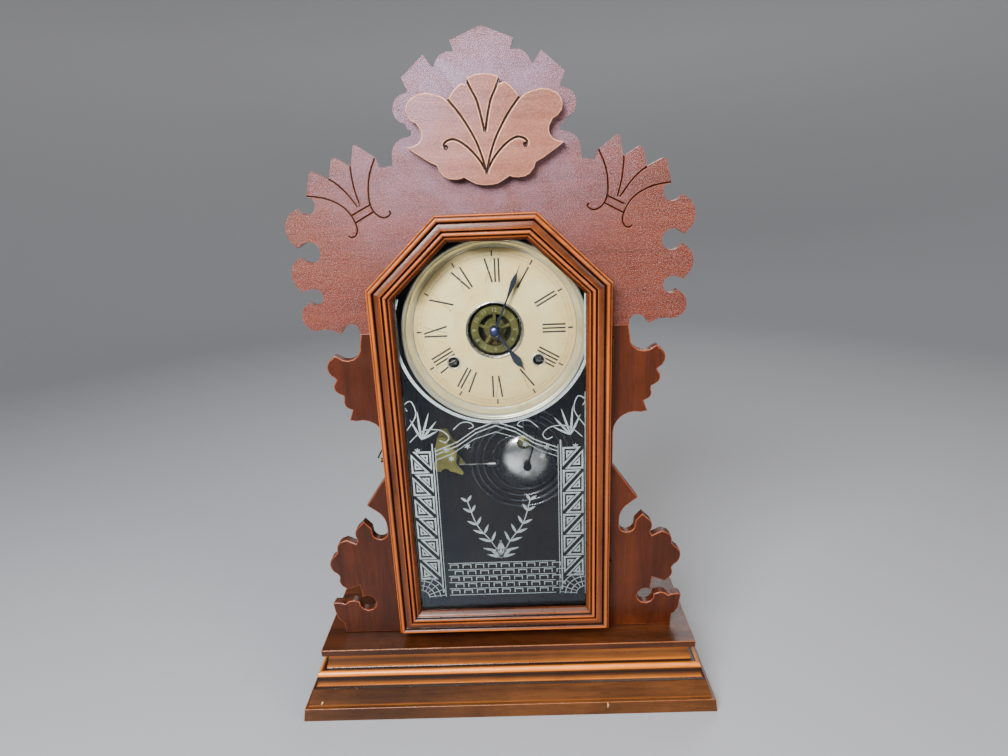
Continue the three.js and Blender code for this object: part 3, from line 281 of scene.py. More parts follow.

# %% [markdown]
# ## The woods of the clock
# Each board has its own dark, body and light colour: a red crest, brown boards, a warmer door
# and base. The chamfers of the door need the grain turned with them. Pine was used where nobody
# looks.

# %% The woods of the clock
# The crest and the palmette each carry a painted sheen round one spot, standing in for a reflection.
crest_walnut = walnut("crest_walnut", (52, 18, 7), (74, 28, 13), (86, 36, 18), "X", gloss=0.34,
                      peel=0.7, sheen_spot=(-14, 530, 160, 0.58), patchy=0.15, glint_specks=0.5)
# The rim finishes are painted pale, both rubbed wear and a painted highlight on rounded edges and on the lips
# of cuts.
crest_rim = walnut("crest_rim", (56, 22, 12), (84, 38, 22), (108, 56, 38), "X", worn_and_lit=(112, 66, 46))
board_walnut = walnut("board_walnut", (24, 8, 2), (48, 17, 5), (66, 27, 8), "Z", peel=0.3, patchy=0.4)
board_rim = walnut("board_rim", (44, 15, 5), (74, 28, 10), (96, 44, 20), "Z", worn_and_lit=(104, 50, 24))
# The root of an incised line is painted in near-black shade.
cut_shade_walnut = walnut("cut_shade_walnut", (16, 5, 3), (26, 9, 5), (36, 14, 8), "X", peel=0.2)
# The palmette has the painted sheen and painted glint and shade specks of the crest, weaker.
ornament_walnut = walnut("ornament_walnut", (84, 43, 31), (106, 61, 45), (120, 76, 60), "X",
                         gloss=0.38, peel=0.45, sheen_spot=(-50, 505, 70, 0.45), patchy=0.15, glint_specks=0.3)
ornament_rim = walnut("ornament_rim", (100, 54, 36), (132, 84, 60), (158, 112, 88), "X",
                      worn_and_lit=(160, 116, 90))

DOOR_COLOURS = (42, 17, 6), (74, 36, 16), (96, 49, 22)
DOOR_VARNISH = {"gloss": 0.27, "peel": 0.12}
CHAMFER_TURN = math.radians(44)
stile_walnut = walnut("stile_walnut", *DOOR_COLOURS, "Z", **DOOR_VARNISH)
rail_walnut = walnut("rail_walnut", *DOOR_COLOURS, "X", **DOOR_VARNISH)
slope_walnut_right = walnut("slope_walnut_right", *DOOR_COLOURS, "X", -CHAMFER_TURN, **DOOR_VARNISH)
slope_walnut_left = walnut("slope_walnut_left", *DOOR_COLOURS, "X", CHAMFER_TURN, **DOOR_VARNISH)
base_walnut = walnut("base_walnut", (32, 15, 5), (58, 31, 11), (80, 46, 17), "X", gloss=0.26,
                     peel=0.12, bead=(190, 104, 26))
base_side_walnut = walnut("base_side_walnut", (28, 13, 5), (48, 25, 10), (68, 38, 16), "Y",
                          gloss=0.3, peel=0.12, bead=(150, 82, 22))
# Inside the case the pine and the back are painted in near-black shade.
case_pine = walnut("case_pine", (52, 28, 14), (82, 46, 24), (108, 66, 36), "Z", gloss=0.5, peel=0.1,
                   coat=0.05, inside=(10, 9, 9))
back_pine = walnut("back_pine", (78, 52, 30), (110, 78, 48), (136, 100, 64), "Z", gloss=0.6,
                   peel=0.1, coat=0.0, inside=(7, 8, 8))
bare_wood = walnut("bare_wood", (150, 116, 80), (190, 156, 112), (214, 184, 144), "Z", gloss=0.6,
                   peel=0.1, coat=0.0)
deck_walnut = walnut("deck_walnut", (26, 11, 4), (48, 22, 8), (64, 32, 12), "X", gloss=0.3, peel=0.12)
# Rounded edges are painted paler, both rubbed wear and a painted highlight.
worn_lit_walnut = walnut("worn_lit_walnut", (50, 22, 8), (76, 38, 14), (98, 54, 24), "X", worn_and_lit=(98, 54, 22))
print("materials so far:", len(bpy.data.materials))

# %% [markdown]
# ## Metals
# The brass inside has gone brown and green in patches, the bezel is a paler alloy that has kept
# its shine, the hands are blued in a flame, and the bell is nickel plated. Each is a plain metal
# whose colour and roughness follow a slow noise, with fine scratches in the bump.

# %% Metals
def metal(name, bright, stained, low, high, roughness, stain=30, scratch=0.08, metallic=1.0):
    finish = Finish(name, Metallic=metallic)
    patches = finish.noise(stain, 6, 0.65, 0.5)
    colour = finish.ramp(patches, (low, paint(*stained)), (high, paint(*bright)))
    shine = finish.ramp(patches, (low, roughness + 0.22), (high, roughness))
    scratches = finish.noise(1400, 3, 0.7)
    normal = finish.bump(scratches, 0.0001, scratch)
    return finish.wear(Base_Color=colour, Roughness=shine, Normal=normal)


green_brass = metal("green_brass", (190, 178, 88), (120, 116, 52), 0.3, 0.6, 0.42)
bezel_brass = metal("bezel_brass", (250, 246, 222), (216, 206, 168), 0.3, 0.58, 0.3, stain=22, metallic=0.7)
dark_bronze = metal("dark_bronze", (72, 58, 40), (30, 25, 20), 0.35, 0.65, 0.4)
blued_steel = metal("blued_steel", (92, 99, 112), (50, 56, 68), 0.35, 0.65, 0.28)
grey_steel = metal("grey_steel", (150, 150, 148), (92, 88, 84), 0.35, 0.6, 0.32)
spring_steel = metal("spring_steel", (120, 118, 124), (58, 54, 60), 0.35, 0.6, 0.28)
gong_steel = metal("gong_steel", (120, 120, 126), (60, 58, 62), 0.35, 0.6, 0.2)
bell_nickel = metal("bell_nickel", (236, 238, 234), (176, 174, 164), 0.3, 0.55, 0.2, stain=45)
zinc_pan = metal("zinc_pan", (168, 172, 176), (120, 124, 126), 0.35, 0.65, 0.4)
pale_brass = metal("pale_brass", (206, 204, 160), (150, 148, 104), 0.3, 0.6, 0.35)
dull_brass = metal("dull_brass", (150, 146, 84), (78, 78, 48), 0.35, 0.65, 0.35, stain=70)
works_brass = metal("works_brass", (150, 122, 66), (74, 60, 34), 0.35, 0.65, 0.4)
soot_brass = metal("soot_brass", (84, 72, 48), (30, 27, 22), 0.35, 0.65, 0.5)
violet_steel = metal("violet_steel", (128, 132, 190), (70, 74, 120), 0.35, 0.65, 0.2)
black_iron = metal("black_iron", (40, 38, 38), (18, 17, 17), 0.35, 0.65, 0.5)
print("materials so far:", len(bpy.data.materials))

# %% [markdown]
# ## Glass
# A pane shows what is behind it and mirrors a little of the room, so a Transparent shader and a
# Glossy one are mixed by the Fresnel law. That lets light straight through, without the noise of
# a bending glass. The Principled shader isn't needed here and goes.

# %% Glass
clear_glass = Finish("clear_glass")
see = clear_glass.add("BsdfTransparent", {"Color": (0.97, 0.98, 0.98, 1)})
mirror = clear_glass.add("BsdfGlossy", {"Color": (0.3, 0.34, 0.4, 1), "Roughness": 0.02})
edge_on = clear_glass.add("Fresnel", {"IOR": 1.5})
pane = clear_glass.add("MixShader", {0: edge_on.outputs[0], 1: see.outputs[0], 2: mirror.outputs[0]})
clear_glass.links.new(pane.outputs[0], clear_glass.nodes["Material Output"].inputs["Surface"])
clear_glass.nodes.remove(clear_glass.skin)

etched = Finish("etched_white", Roughness=0.75)
streaks = etched.noise(700, 4, 0.8)
frost = etched.ramp(streaks, (0.3, paint(190, 198, 196)), (0.65, paint(240, 246, 242)))
cover = etched.ramp(streaks, (0.25, 0.6), (0.5, 1.0))
etched_white = etched.wear(Base_Color=frost, Alpha=cover)
print("nodes in the glass:", len(clear_glass.nodes))

# %% [markdown]
# ## Paper and ink
# The dial paper is cream, browned at its rim and spotted here and there. The rim is found by the
# distance from the dial's centre. Both inks have rubbed off in places: a second colour, close to
# the paper's, shows where a noise is high.

# %% Paper and ink
DIAL_Z = 340.7
PAPER_RADIUS = 67.3
paper = Finish("dial_paper")
centred = paper.add("VectorMath", {0: paper.place, 1: (0, 0, -DIAL_Z * MM)}, operation="ADD")
away = paper.add("VectorMath", {0: centred.outputs[0]}, operation="LENGTH").outputs["Value"]
rim_share = paper.maths("MULTIPLY", away, 1 / (PAPER_RADIUS * MM))
cream = paper.ramp(paper.noise(34, 6, 0.65, 0.6), (0.3, paint(255, 212, 132)), (0.65, paint(255, 236, 168)))
browned = paper.mix(paper.ramp(rim_share, (0.78, 0.0), (1.0, 0.7)), cream, paint(222, 186, 122))
spots = paper.ramp(paper.noise(120, 5, 0.75, 0.8), (0.62, 0.0), (0.74, 0.55))
spotted = paper.mix(spots, browned, paint(170, 120, 66))
fibre = paper.bump(paper.noise(1600, 2), 0.0001, 0.3)
dial_paper = paper.wear(Base_Color=spotted, Normal=fibre)


def ink(name, roughness, scale, fresh, rubbed):
    """Each of fresh and rubbed is a height of the noise and the colour there."""
    finish = Finish(name, Roughness=roughness)
    stops = [(height, paint(*colour)) for height, colour in (fresh, rubbed)]
    return finish.wear(Base_Color=finish.ramp(finish.noise(scale, 4, 0.7), *stops))


printed_ink = ink("printed_ink", 0.6, 420, (0.58, (44, 40, 42)), (0.72, (150, 130, 104)))
faded_ink = ink("faded_ink", 0.7, 300, (0.42, (120, 104, 88)), (0.6, (214, 192, 150)))
print("materials so far:", len(bpy.data.materials))

# %% [markdown]
# ## Making pieces
# `finished` turns a bmesh into an object that rides on its body, and remembers which CAD node it
# replaces. A weighted normal modifier keeps wide faces flat right up to their rounded corners,
# and edges sharper than `crease` degrees stay sharp.

# %% Making pieces
shown_nodes = set()


def finished(name, shape, finishes, body, replaces="", crease=32):
    mesh = bpy.data.meshes.new(name)
    shape.to_mesh(mesh)
    shape.free()
    for finish in finishes if isinstance(finishes, list) else [finishes]:
        mesh.materials.append(finish)
    mesh.shade_smooth()
    mesh.set_sharp_from_angle(angle=math.radians(crease))
    piece = bpy.data.objects.new(name, mesh)
    bpy.context.scene.collection.objects.link(piece)
    piece.modifiers.new("even_normals", "WEIGHTED_NORMAL").keep_sharp = True
    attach(piece, body)
    if replaces:
        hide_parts(replaces)
        shown_nodes.add(replaces)


print("CAD nodes to show:", len(frame["nodes"]))

# %% [markdown]
# ## Softening corners
# Real edges catch light, so every piece that keeps its CAD shape gets rounded corners. A CAD node
# is loose triangles, and its mesh may not be changed. `merged_copy` merges a copy of it and joins
# its flat faces, `corner_edges` finds the edges to round, and `softened` does it all.

# %% Softening corners
MERGE = 0.00001
FLAT = math.radians(1)


def merged_copy(node):
    shape = bmesh.new()
    shape.from_mesh(frame["nodes"][node].data)
    bmesh.ops.remove_doubles(shape, verts=shape.verts, dist=MERGE)
    bmesh.ops.dissolve_limit(shape, angle_limit=FLAT, verts=shape.verts, edges=shape.edges)
    return shape


def corner_edges(shape, least):
    """Edges that turn by more than a number of degrees, but not ones folded flat on themselves."""
    low = math.radians(least)
    return [edge for edge in shape.edges
            if len(edge.link_faces) == 2 and low < edge.calc_face_angle() <= math.pi]


def round_over(shape, edges, width, segments=2, finish=-1):
    bmesh.ops.bevel(shape, geom=edges, offset=width * MM, offset_type="OFFSET", affect="EDGES",
                    segments=segments, profile=0.5, material=finish, clamp_overlap=True)


def softened(node, width=0.3, segments=2, finish=-1, least=35):
    shape = merged_copy(node)
    round_over(shape, corner_edges(shape, least), width, segments, finish)
    return shape


probe = merged_copy("plinth")
print("plinth:", len(probe.verts), "vertices,", len(corner_edges(probe, 35)), "corner edges")
probe.free()

# %% [markdown]
# ## Sweeping
# A moulding plane makes most of the rest. `swept` places a section at a row of stations, each a
# matrix, and joins neighbours with faces. No operator keeps mitred corners and the tone of each
# point, so the rings are made by hand. `tone` is written on the points for the walnut to read.

# %% Sweeping
def swept(shape, section, stations, closed=False, tone=None, finishes=None):
    layer = shape.verts.layers.float.get("tone") or shape.verts.layers.float.new("tone")
    rings = []
    for station in stations:
        ring = [shape.verts.new(station @ Vector((u * MM, v * MM, 0))) for u, v in section]
        for corner, value in zip(ring, tone or ()):
            corner[layer] = value
        rings.append(ring)
    made = []
    count = len(section)
    for here, there in zip(rings, rings[1:] + rings[:1] if closed else rings[1:]):
        for index in range(count):
            after = (index + 1) % count
            face = shape.faces.new((here[index], here[after], there[after], there[index]))
            face.material_index = finishes[index] if finishes else 0
            made.append(face)
    if not closed:
        made.append(shape.faces.new(rings[0]))
        made.append(shape.faces.new(rings[-1]))
    bmesh.ops.recalc_face_normals(shape, faces=made)


probe = bmesh.new()
swept(probe, [(0, 0), (2, 0), (1, 1)], [Matrix(), Matrix.Translation((0, 0, 0.01))])
print("faces of a swept wedge:", len(probe.faces))
probe.free()

# %% [markdown]
# ## Paths
# `along` makes the stations of a path in the plane of the dial, with its corners mitred: the
# section is stretched at a corner, up to a limit that keeps sharp corners short. `curved` and
# `arc` give the points of a smooth line, and `disc_wire` is the section of a round wire.

# %% Paths
STRETCH_LIMIT = 2.2
LEAST_COSINE = 0.3


def along(path, y, widths=None, closed=False):
    """Stations of a path of (x, z) points: u runs across it and v comes towards the viewer."""
    spots = [Vector((x, 0, z)) for x, z in path]
    stations = []
    for index, spot in enumerate(spots):
        before = spots[index - 1] if index or closed else None
        after = spots[(index + 1) % len(spots)] if index + 1 < len(spots) or closed else None
        ways = [(b - a).normalized() for a, b in ((before, spot), (spot, after)) if a and b]
        way = sum(ways, Vector()).normalized()
        width = widths[index] if widths else 1
        stretch = min(STRETCH_LIMIT, 1 / max(LEAST_COSINE, way.dot(ways[0]))) * width
        across = Vector((way.z, 0, -way.x)) * stretch
        stations.append(Matrix((
            (across.x, 0, way.x, spot.x * MM), (0, -1, 0, y * MM), (across.z, 0, way.z, spot.z * MM),
            (0, 0, 0, 1),
        )))
    return stations


def catmull_rom(p, q, r, s, t):
    """One coordinate at a share t of the way from q to r, with p before and s after them."""
    doubled = 2 * q + (r - p) * t
    doubled += (2 * p - 5 * q + 4 * r - s) * t * t
    doubled += (3 * q - p - 3 * r + s) * t ** 3
    return 0.5 * doubled


def curved(points, steps=4):
    """A smooth curve through the points."""
    ends = [points[0]] + list(points) + [points[-1]]
    result = [points[0]]
    for four in zip(ends, ends[1:], ends[2:], ends[3:]):
        for step in range(1, steps + 1):
            result.append(tuple(catmull_rom(*coordinates, step / steps) for coordinates in zip(*four)))
    return result


def arc(across, up, radius, start, end, steps):
    angles = [math.radians(start + (end - start) * step / steps) for step in range(steps + 1)]
    return [(across + radius * math.cos(angle), up + radius * math.sin(angle)) for angle in angles]


def mirrored(path):
    return [(-x, z) for x, z in path]


def disc_wire(radius, steps=12):
    angles = [math.tau * step / steps for step in range(steps)]
    return [(radius * math.cos(angle), radius * math.sin(angle)) for angle in angles]


print("points of a curve through three:", len(curved([(0, 0), (10, 6), (20, 0)])))

# %% [markdown]
# ## Turning
# A lathe makes the rings, the domes and the knobs. `turned` spins a closed profile of (radius, y)
# points about an axis that points at the viewer. The spin leaves doubles on the axis, and it can turn
# the shape inside out, so the doubles are merged and the normals are worked out again.

# %% Turning
SPIN_MERGE = 0.000002


def turned(shape, profile, x, z, steps):
    spots = [shape.verts.new(((x + radius) * MM, y * MM, z * MM)) for radius, y in profile]
    chain = [shape.edges.new(pair) for pair in zip(spots, spots[1:] + spots[:1])]
    bmesh.ops.spin(shape, geom=spots + chain, axis=(0, 1, 0), cent=(x * MM, 0, z * MM), dvec=(0, 0, 0),
                   angle=math.tau, steps=steps, use_merge=True)
    bmesh.ops.remove_doubles(shape, verts=shape.verts, dist=SPIN_MERGE)
    bmesh.ops.recalc_face_normals(shape, faces=shape.faces)


probe = bmesh.new()
turned(probe, [(4, 0), (6, 0), (6, -2)], 0, DIAL_Z, 24)
print("faces of a small turned ring:", len(probe.faces))
probe.free()

# %% [markdown]
# ## Carving
# The incised lines are cut by a Boolean: a long wedge is swept along each line and taken away
# from the board. The wedge flares at the surface, so that a cut has a root painted in near-black
# shade and lips painted pale as a highlight, and its faces keep their own finish numbers.

# %% Carving
def linked(shape, finishes):
    """An object for a bmesh, only for the length of a Boolean."""
    mesh = bpy.data.meshes.new("carving")
    shape.to_mesh(mesh)
    shape.free()
    for finish in finishes:
        mesh.materials.append(finish)
    holder = bpy.data.objects.new("carving", mesh)
    bpy.context.scene.collection.objects.link(holder)
    return holder


def carved(shape, knife, finishes):
    block, cutter = linked(shape, finishes), linked(knife, finishes)
    cut = block.modifiers.new("cut", "BOOLEAN")
    cut.operation = "DIFFERENCE"
    cut.solver = "EXACT"
    cut.use_self = True
    cut.object = cutter
    result = bpy.data.meshes.new_from_object(block.evaluated_get(bpy.context.evaluated_depsgraph_get()))
    shape = bmesh.new()
    shape.from_mesh(result)
    # Removing a mesh also removes the object that shows it.
    for mesh in (block.data, cutter.data, result):
        bpy.data.meshes.remove(mesh)
    return shape


LIP, ROOT = 2, 1
WIDE_CUT = 0.7


def wedge(shape, path, surface, half, depth):
    """A knife along a path: half is half its width at the surface, and the lips flare beyond it."""
    flare = 2.0 if half > WIDE_CUT else 0.8
    section = [(-half - flare, 0.6), (half + flare, 0.6), (half, -0.35), (0.25, -depth), (-0.25, -depth),
               (-half, -0.35)]
    swept(shape, section, along(path, surface), finishes=[LIP, LIP, ROOT, ROOT, ROOT, LIP])


print("finish numbers of a cut: lip", LIP, "root", ROOT)

# %% [markdown]
# ## The studio floor
# The floor is a wide pale dish whose rim curves up, so there is no horizon behind the clock from
# any side. It is a profile spun round.

# %% The studio floor
FLOOR_REACH, RIM_STEPS, WALL_TOP = 1.6, 12, 2.4
dish = bmesh.new()
profile = [(0.0, 0.0), (FLOOR_REACH, 0.0)]
for step in range(1, RIM_STEPS + 1):
    rise = step / RIM_STEPS * math.pi / 2
    profile.append((FLOOR_REACH + math.sin(rise), 1.0 - math.cos(rise)))
profile.append((FLOOR_REACH + 1.0, WALL_TOP))
chain = [dish.verts.new((radius, 0, height)) for radius, height in profile]
chain_edges = [dish.edges.new(pair) for pair in zip(chain, chain[1:])]
bmesh.ops.spin(dish, geom=chain + chain_edges, axis=(0, 0, 1), cent=(0, 0, 0), dvec=(0, 0, 0),
               angle=math.tau, steps=64, use_merge=True)
bmesh.ops.remove_doubles(dish, verts=dish.verts, dist=0.0001)
bmesh.ops.recalc_face_normals(dish, faces=dish.faces)
bmesh.ops.reverse_faces(dish, faces=dish.faces)
floor_mesh = bpy.data.meshes.new("studio_floor")
dish.to_mesh(floor_mesh)
dish.free()
floor_mesh.shade_smooth()
floor_mesh.materials.append(Finish("pale_floor", Roughness=0.55, Base_Color=paint(106, 107, 110)).material)
floor = bpy.data.objects.new("studio_floor", floor_mesh)
bpy.context.scene.collection.objects.link(floor)
floor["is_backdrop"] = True
print("floor faces:", len(floor_mesh.polygons))

# %% [markdown]
# ## The lamps
# Four large soft lamps stand for a window behind the camera, the room's ceiling, the room behind
# the clock and a weak fill. A lamp shines along its own -Z, so it is turned to track its aim. The
# pale world fills the shadows a little.

# %% The lamps
def lamp(name, place, aim, width, height, power, colour):
    light = bpy.data.lights.new(name, "AREA")
    light.shape = "RECTANGLE"
    light.size, light.size_y = width, height
    light.energy = power
    light.color = colour
    holder = bpy.data.objects.new(name, light)
    way = Vector(aim) - Vector(place)
    holder.matrix_world = Matrix.Translation(place) @ way.to_track_quat("-Z", "Y").to_matrix().to_4x4()
    bpy.context.scene.collection.objects.link(holder)


DAYLIGHT = (0.97, 0.98, 1.0)
lamp("window", (-0.5, -1.0, 1.1), (0, 0, 0.46), 0.8, 0.6, 112, DAYLIGHT)
lamp("ceiling", (0.1, -0.35, 1.75), (0, 0, 0.2), 1.4, 1.2, 34, (1.0, 0.97, 0.93))
lamp("back_room", (0.5, 1.4, 1.3), (0, 0, 0.25), 1.0, 0.8, 15, DAYLIGHT)
lamp("fill", (1.3, -0.9, 0.8), (0, 0, 0.3), 0.8, 0.8, 34, (1.0, 0.94, 0.86))
sky = bpy.data.worlds.new("room")
sky.use_nodes = True
room = sky.node_tree.nodes["Background"].inputs
room["Color"].default_value = (0.95, 0.94, 0.92, 1)
room["Strength"].default_value = 0.3
bpy.context.scene.world = sky
print("lamps:", len(bpy.data.lights))

# %% [markdown]
# ## The fretted boards
# The three boards keep their CAD outline. Their front rim is rubbed round, and it is painted pale,
# both as wear and as a highlight along the edge. Each side of the crest has a fan: four incised
# lines that gather in a tied band and end in scrolls.

# %% The fretted boards
BOARD_FRONT = -17.0
RIM_ROUND = 0.8
FAN_HALF, FAN_DEPTH = 0.55, 1.1


def rim_edges(shape, y, reach=0.05):
    """Corner edges that lie in the plane at y."""
    return [edge for edge in corner_edges(shape, 60)
            if all(abs(vert.co.y / MM - y) < reach for vert in edge.verts)]


fan_lines = [
    [(82.8, 477.2), (86.4, 469.6), (89, 461.2), (90, 451.7), (89.6, 444.5), (87.2, 438.9), (83.3, 435.3),
     (79.1, 434.3), (75.8, 435.8), (74.6, 437.8), (76, 439.2)],
    [(101.6, 472.6), (101.4, 465.5), (100, 454.5), (97.2, 443.4)],
    [(118.8, 463.8), (112.2, 459.1), (105.8, 452.2), (99.1, 443)],
    [(137.2, 452.2), (124, 450.2), (113.2, 445.4), (106, 438.8), (102.1, 431), (101.3, 425.3), (103.4, 421.4),
     (106.6, 420.4), (108.6, 422)],
    [(88.7, 444.6), (104, 437)],
    [(87.4, 439), (101.8, 431.4)],
]
crest = merged_copy("crest_board")
round_over(crest, rim_edges(crest, BOARD_FRONT), RIM_ROUND, 3, LIP)
knife = bmesh.new()
for line in fan_lines:
    for path in (curved(line), mirrored(curved(line))):
        wedge(knife, path, BOARD_FRONT, FAN_HALF, FAN_DEPTH)
finishes = [crest_walnut, cut_shade_walnut, crest_rim]
crest = carved(crest, knife, finishes)
finished("crest_board_fretted", crest, finishes, "case", "crest_board")
for side in ("left", "right"):
    board = merged_copy("side_board_" + side)
    round_over(board, rim_edges(board, BOARD_FRONT), RIM_ROUND, 3, 1)
    finished("side_board_fretted_" + side, board, [board_walnut, board_rim], "case",
             "side_board_" + side)
print("fan lines:", len(fan_lines) * 2)

# %% [markdown]
# ## The applied palmette
# One ornament is glued to the crest. Its lines are the same kind of cut, wider, with a root in
# painted shade and lips painted paler as a highlight: two sweeping stems, a narrow V between
# them, and a curl on each side that ends in a dot.

# %% The applied palmette
ORNAMENT_FRONT = -24.3
stem = [(0.2, 463), (2, 472), (6, 484), (11, 494), (18, 505), (27, 516)]
vee = [(0.3, 492), (2.2, 502), (5, 513), (8.5, 520), (12, 527.5)]
curl = [(1, 466), (5, 473), (11, 480), (17, 485), (23, 487.7), (28, 486.6), (30.4, 484), (29.4, 482)]
CURL_END_X, CURL_END_Z = 29, 482.4
STEM_HALF, STEM_DEPTH = 0.85, 1.3
palmette = merged_copy("crest_ornament")
round_over(palmette, rim_edges(palmette, ORNAMENT_FRONT), RIM_ROUND, 3, LIP)
knife = bmesh.new()
for line in (stem, vee, curl):
    for path in (curved(line), mirrored(curved(line))):
        wedge(knife, path, ORNAMENT_FRONT, STEM_HALF, STEM_DEPTH)
dot = [(0, ORNAMENT_FRONT - 0.6), (2.2, ORNAMENT_FRONT - 0.6), (1.5, ORNAMENT_FRONT + 0.9),
       (0, ORNAMENT_FRONT + 1.2)]
for side in (-1, 1):
    turned(knife, dot, side * CURL_END_X, CURL_END_Z, 20)
for face in knife.faces:
    face.material_index = face.material_index or ROOT
finishes = [ornament_walnut, cut_shade_walnut, ornament_rim]
palmette = carved(palmette, knife, finishes)
finished("palmette_cut", palmette, finishes, "case", "crest_ornament")
print("palmette lines:", 2 * len((stem, vee, curl)))

# %% [markdown]
# ## The door's corners
# Six lengths of one moulding meet in mitres. A corner of the frame moves in a straight line as
# the distance in from the outer edge grows, so one matrix per corner carries the whole section
# onto its mitre plane. The lengths are drawn apart by a hair, so that the mitres show.

# %% The door's corners
DOOR_X, DOOR_BACK = -2.3, -18.0
DOOR_HALF, DOOR_FOOT, DOOR_REACH = 94.5, 67.9, 94.6
SLOPE = math.radians(46.35)


def door_corner(kind, inset):
    """Where a right-hand corner of the door lies at a distance in from its outer edge."""
    half, reach = DOOR_HALF - inset, DOOR_REACH - inset
    if kind == "foot":
        return half, DOOR_FOOT + inset
    if kind == "shoulder":
        return half, DIAL_Z + (reach - math.cos(SLOPE) * half) / math.sin(SLOPE)
    return (reach - math.sin(SLOPE) * half) / math.cos(SLOPE), DIAL_Z + half


def mitre(kind, side):
    x0, z0 = door_corner(kind, 0)
    x1, z1 = door_corner(kind, 1)
    return Matrix((
        (side * (x1 - x0), 0, 0, (DOOR_X + side * x0) * MM), (0, 1, 0, DOOR_BACK * MM),
        (z1 - z0, 0, 1, z0 * MM), (0, 0, 0, 1),
    ))


def drawn_apart(first, second, gap=0.12):
    """Two stations moved towards each other, to leave a hairline at the mitres."""
    way = (second.translation - first.translation).normalized() * gap * MM
    return [Matrix.Translation(way) @ first, Matrix.Translation(-way) @ second]


def between(first, second, count=3):
    """Evenly spaced stations between two, ends included, mixed entry by entry."""
    shares = [step / (count + 1) for step in range(count + 2)]
    return [first * (1 - share) + second * share for share in shares]


print("shoulder of the door:", [round(v, 1) for v in door_corner("shoulder", 0)])

# %% [markdown]
# ## The door's moulding
# The section is a list of (in, out, tone) points: an outer edge, a big gilded bead, a wide cove, a
# small bead and the sight edge round the glass. Tone goes from -1, painted shade in a groove, to 1,
# gilding with a painted highlight. Each bead is an arc whose tone is highest on its crown, where
# the highlight is painted.

# %% The door's moulding
def bead(across, out, radius, start, end, steps, root=-0.9, rise=1.7, power=2):
    spots = arc(across, out, radius, start, end, steps)
    return [(x, y, root + rise * math.sin(math.pi * (index + 0.5) / len(spots)) ** power)
            for index, (x, y) in enumerate(spots)]


# The outer arris carries a painted highlight, and the grooves painted shade.
outer_edge = [(0, 0, 0), (0, -13.3, 0.1), (0.25, -14.1, 0.9), (0.9, -14.6, 0.6), (1.4, -14.5, -0.9)]
cove = [(5.5, -15.1, -0.95), (5.8, -14.9, -1), (6.1, -15.2, -0.7), (6.6, -15.9, 0), (7.8, -16.4, 0),
        (9.4, -16.75, 0), (10.8, -16.9, 0.15), (11.25, -16.75, 0.8), (11.4, -16.2, 0.1), (11.7, -14.7, -1),
        (12.2, -14.4, -1)]
sight = [(15.9, -13.9, -1), (16.2, -13.6, -0.9), (16.7, -13.9, 0.5), (17.4, -13.8, 0.3), (18, -13.4, -0.1),
         (19, -12.1, 0), (20, -10.8, -0.3), (20, -8.2, -0.3), (16.2, -8.2, 0), (16.2, 0, 0)]
door_profile = outer_edge + bead(3.4, -15.9, 1.9, 190, 350, 10) + cove
door_profile += bead(14.1, -14.9, 1.6, 195, 345, 8) + sight
section = [(x, y) for x, y, _ in door_profile]
tone = [value for _, _, value in door_profile]
for name, finish, first, second in (
        ("door_stile_left", stile_walnut, mitre("foot", -1), mitre("shoulder", -1)),
        ("door_stile_right", stile_walnut, mitre("foot", 1), mitre("shoulder", 1)),
        ("door_rail_bottom", rail_walnut, mitre("foot", -1), mitre("foot", 1)),
        ("door_rail_top", rail_walnut, mitre("head", -1), mitre("head", 1)),
        ("door_chamfer_left", slope_walnut_left, mitre("shoulder", -1), mitre("head", -1)),
        ("door_chamfer_right", slope_walnut_right, mitre("shoulder", 1), mitre("head", 1))):
    length = bmesh.new()
    first, second = drawn_apart(first, second)
    swept(length, section, between(first, second), tone=tone)
    finished(name + "_moulded", length, finish, "door", name, 24)
print("door section points:", len(section))

# %% [markdown]
# ## The base
# The mouldings of the base run round three sides. Their section has one gilded bead, with a
# painted highlight on its crown and edges, over a groove in painted shade, under a plain deck. At
# a front corner the section moves in along the diagonal.

# %% The base
BASE_HALF, BASE_FRONT, BASE_BACK = 185.3, -62.5, 62.5
# The high tones on the edges and on the bead's crown are painted highlights, the low ones painted shade in
# the grooves.
base_foot = [(4.3, 12.3, 0.2), (4.9, 14, 0), (6.8, 20, 0), (9, 26.6, 0), (9.4, 27.2, -0.9),
             (10.4, 27.6, -0.9), (12, 28.1, 0.5), (12.5, 28.8, 0.3), (13.1, 31.6, 0), (13.4, 33.6, -0.9),
             (13.5, 34.3, -0.9)]
base_neck = [(18.9, 40.1, -1), (19.9, 40.3, -0.9), (20.3, 40.8, 0.5), (20.7, 43.4, 0.1), (21.9, 47.6, 0),
             (22.2, 49.8, 0.1), (22.4, 51.2, 0.2), (34, 51.2, 0), (34, 12.3, 0)]
base_profile = base_foot + bead(16.2, 37.4, 3.1, 215, 65, 10, -0.7, 1.8, 1) + base_neck
section = [(x, y) for x, y, _ in base_profile]
tone = [value for _, _, value in base_profile]


def base_corner(side):
    return Matrix((
        (-side, 0, 0, side * BASE_HALF * MM), (1, 0, 1, BASE_FRONT * MM), (0, 1, 0, 0), (0, 0, 0, 1),
    ))


def base_end(side):
    return Matrix((
        (-side, 0, 0, side * BASE_HALF * MM), (0, 0, 1, BASE_BACK * MM), (0, 1, 0, 0), (0, 0, 0, 1),
    ))


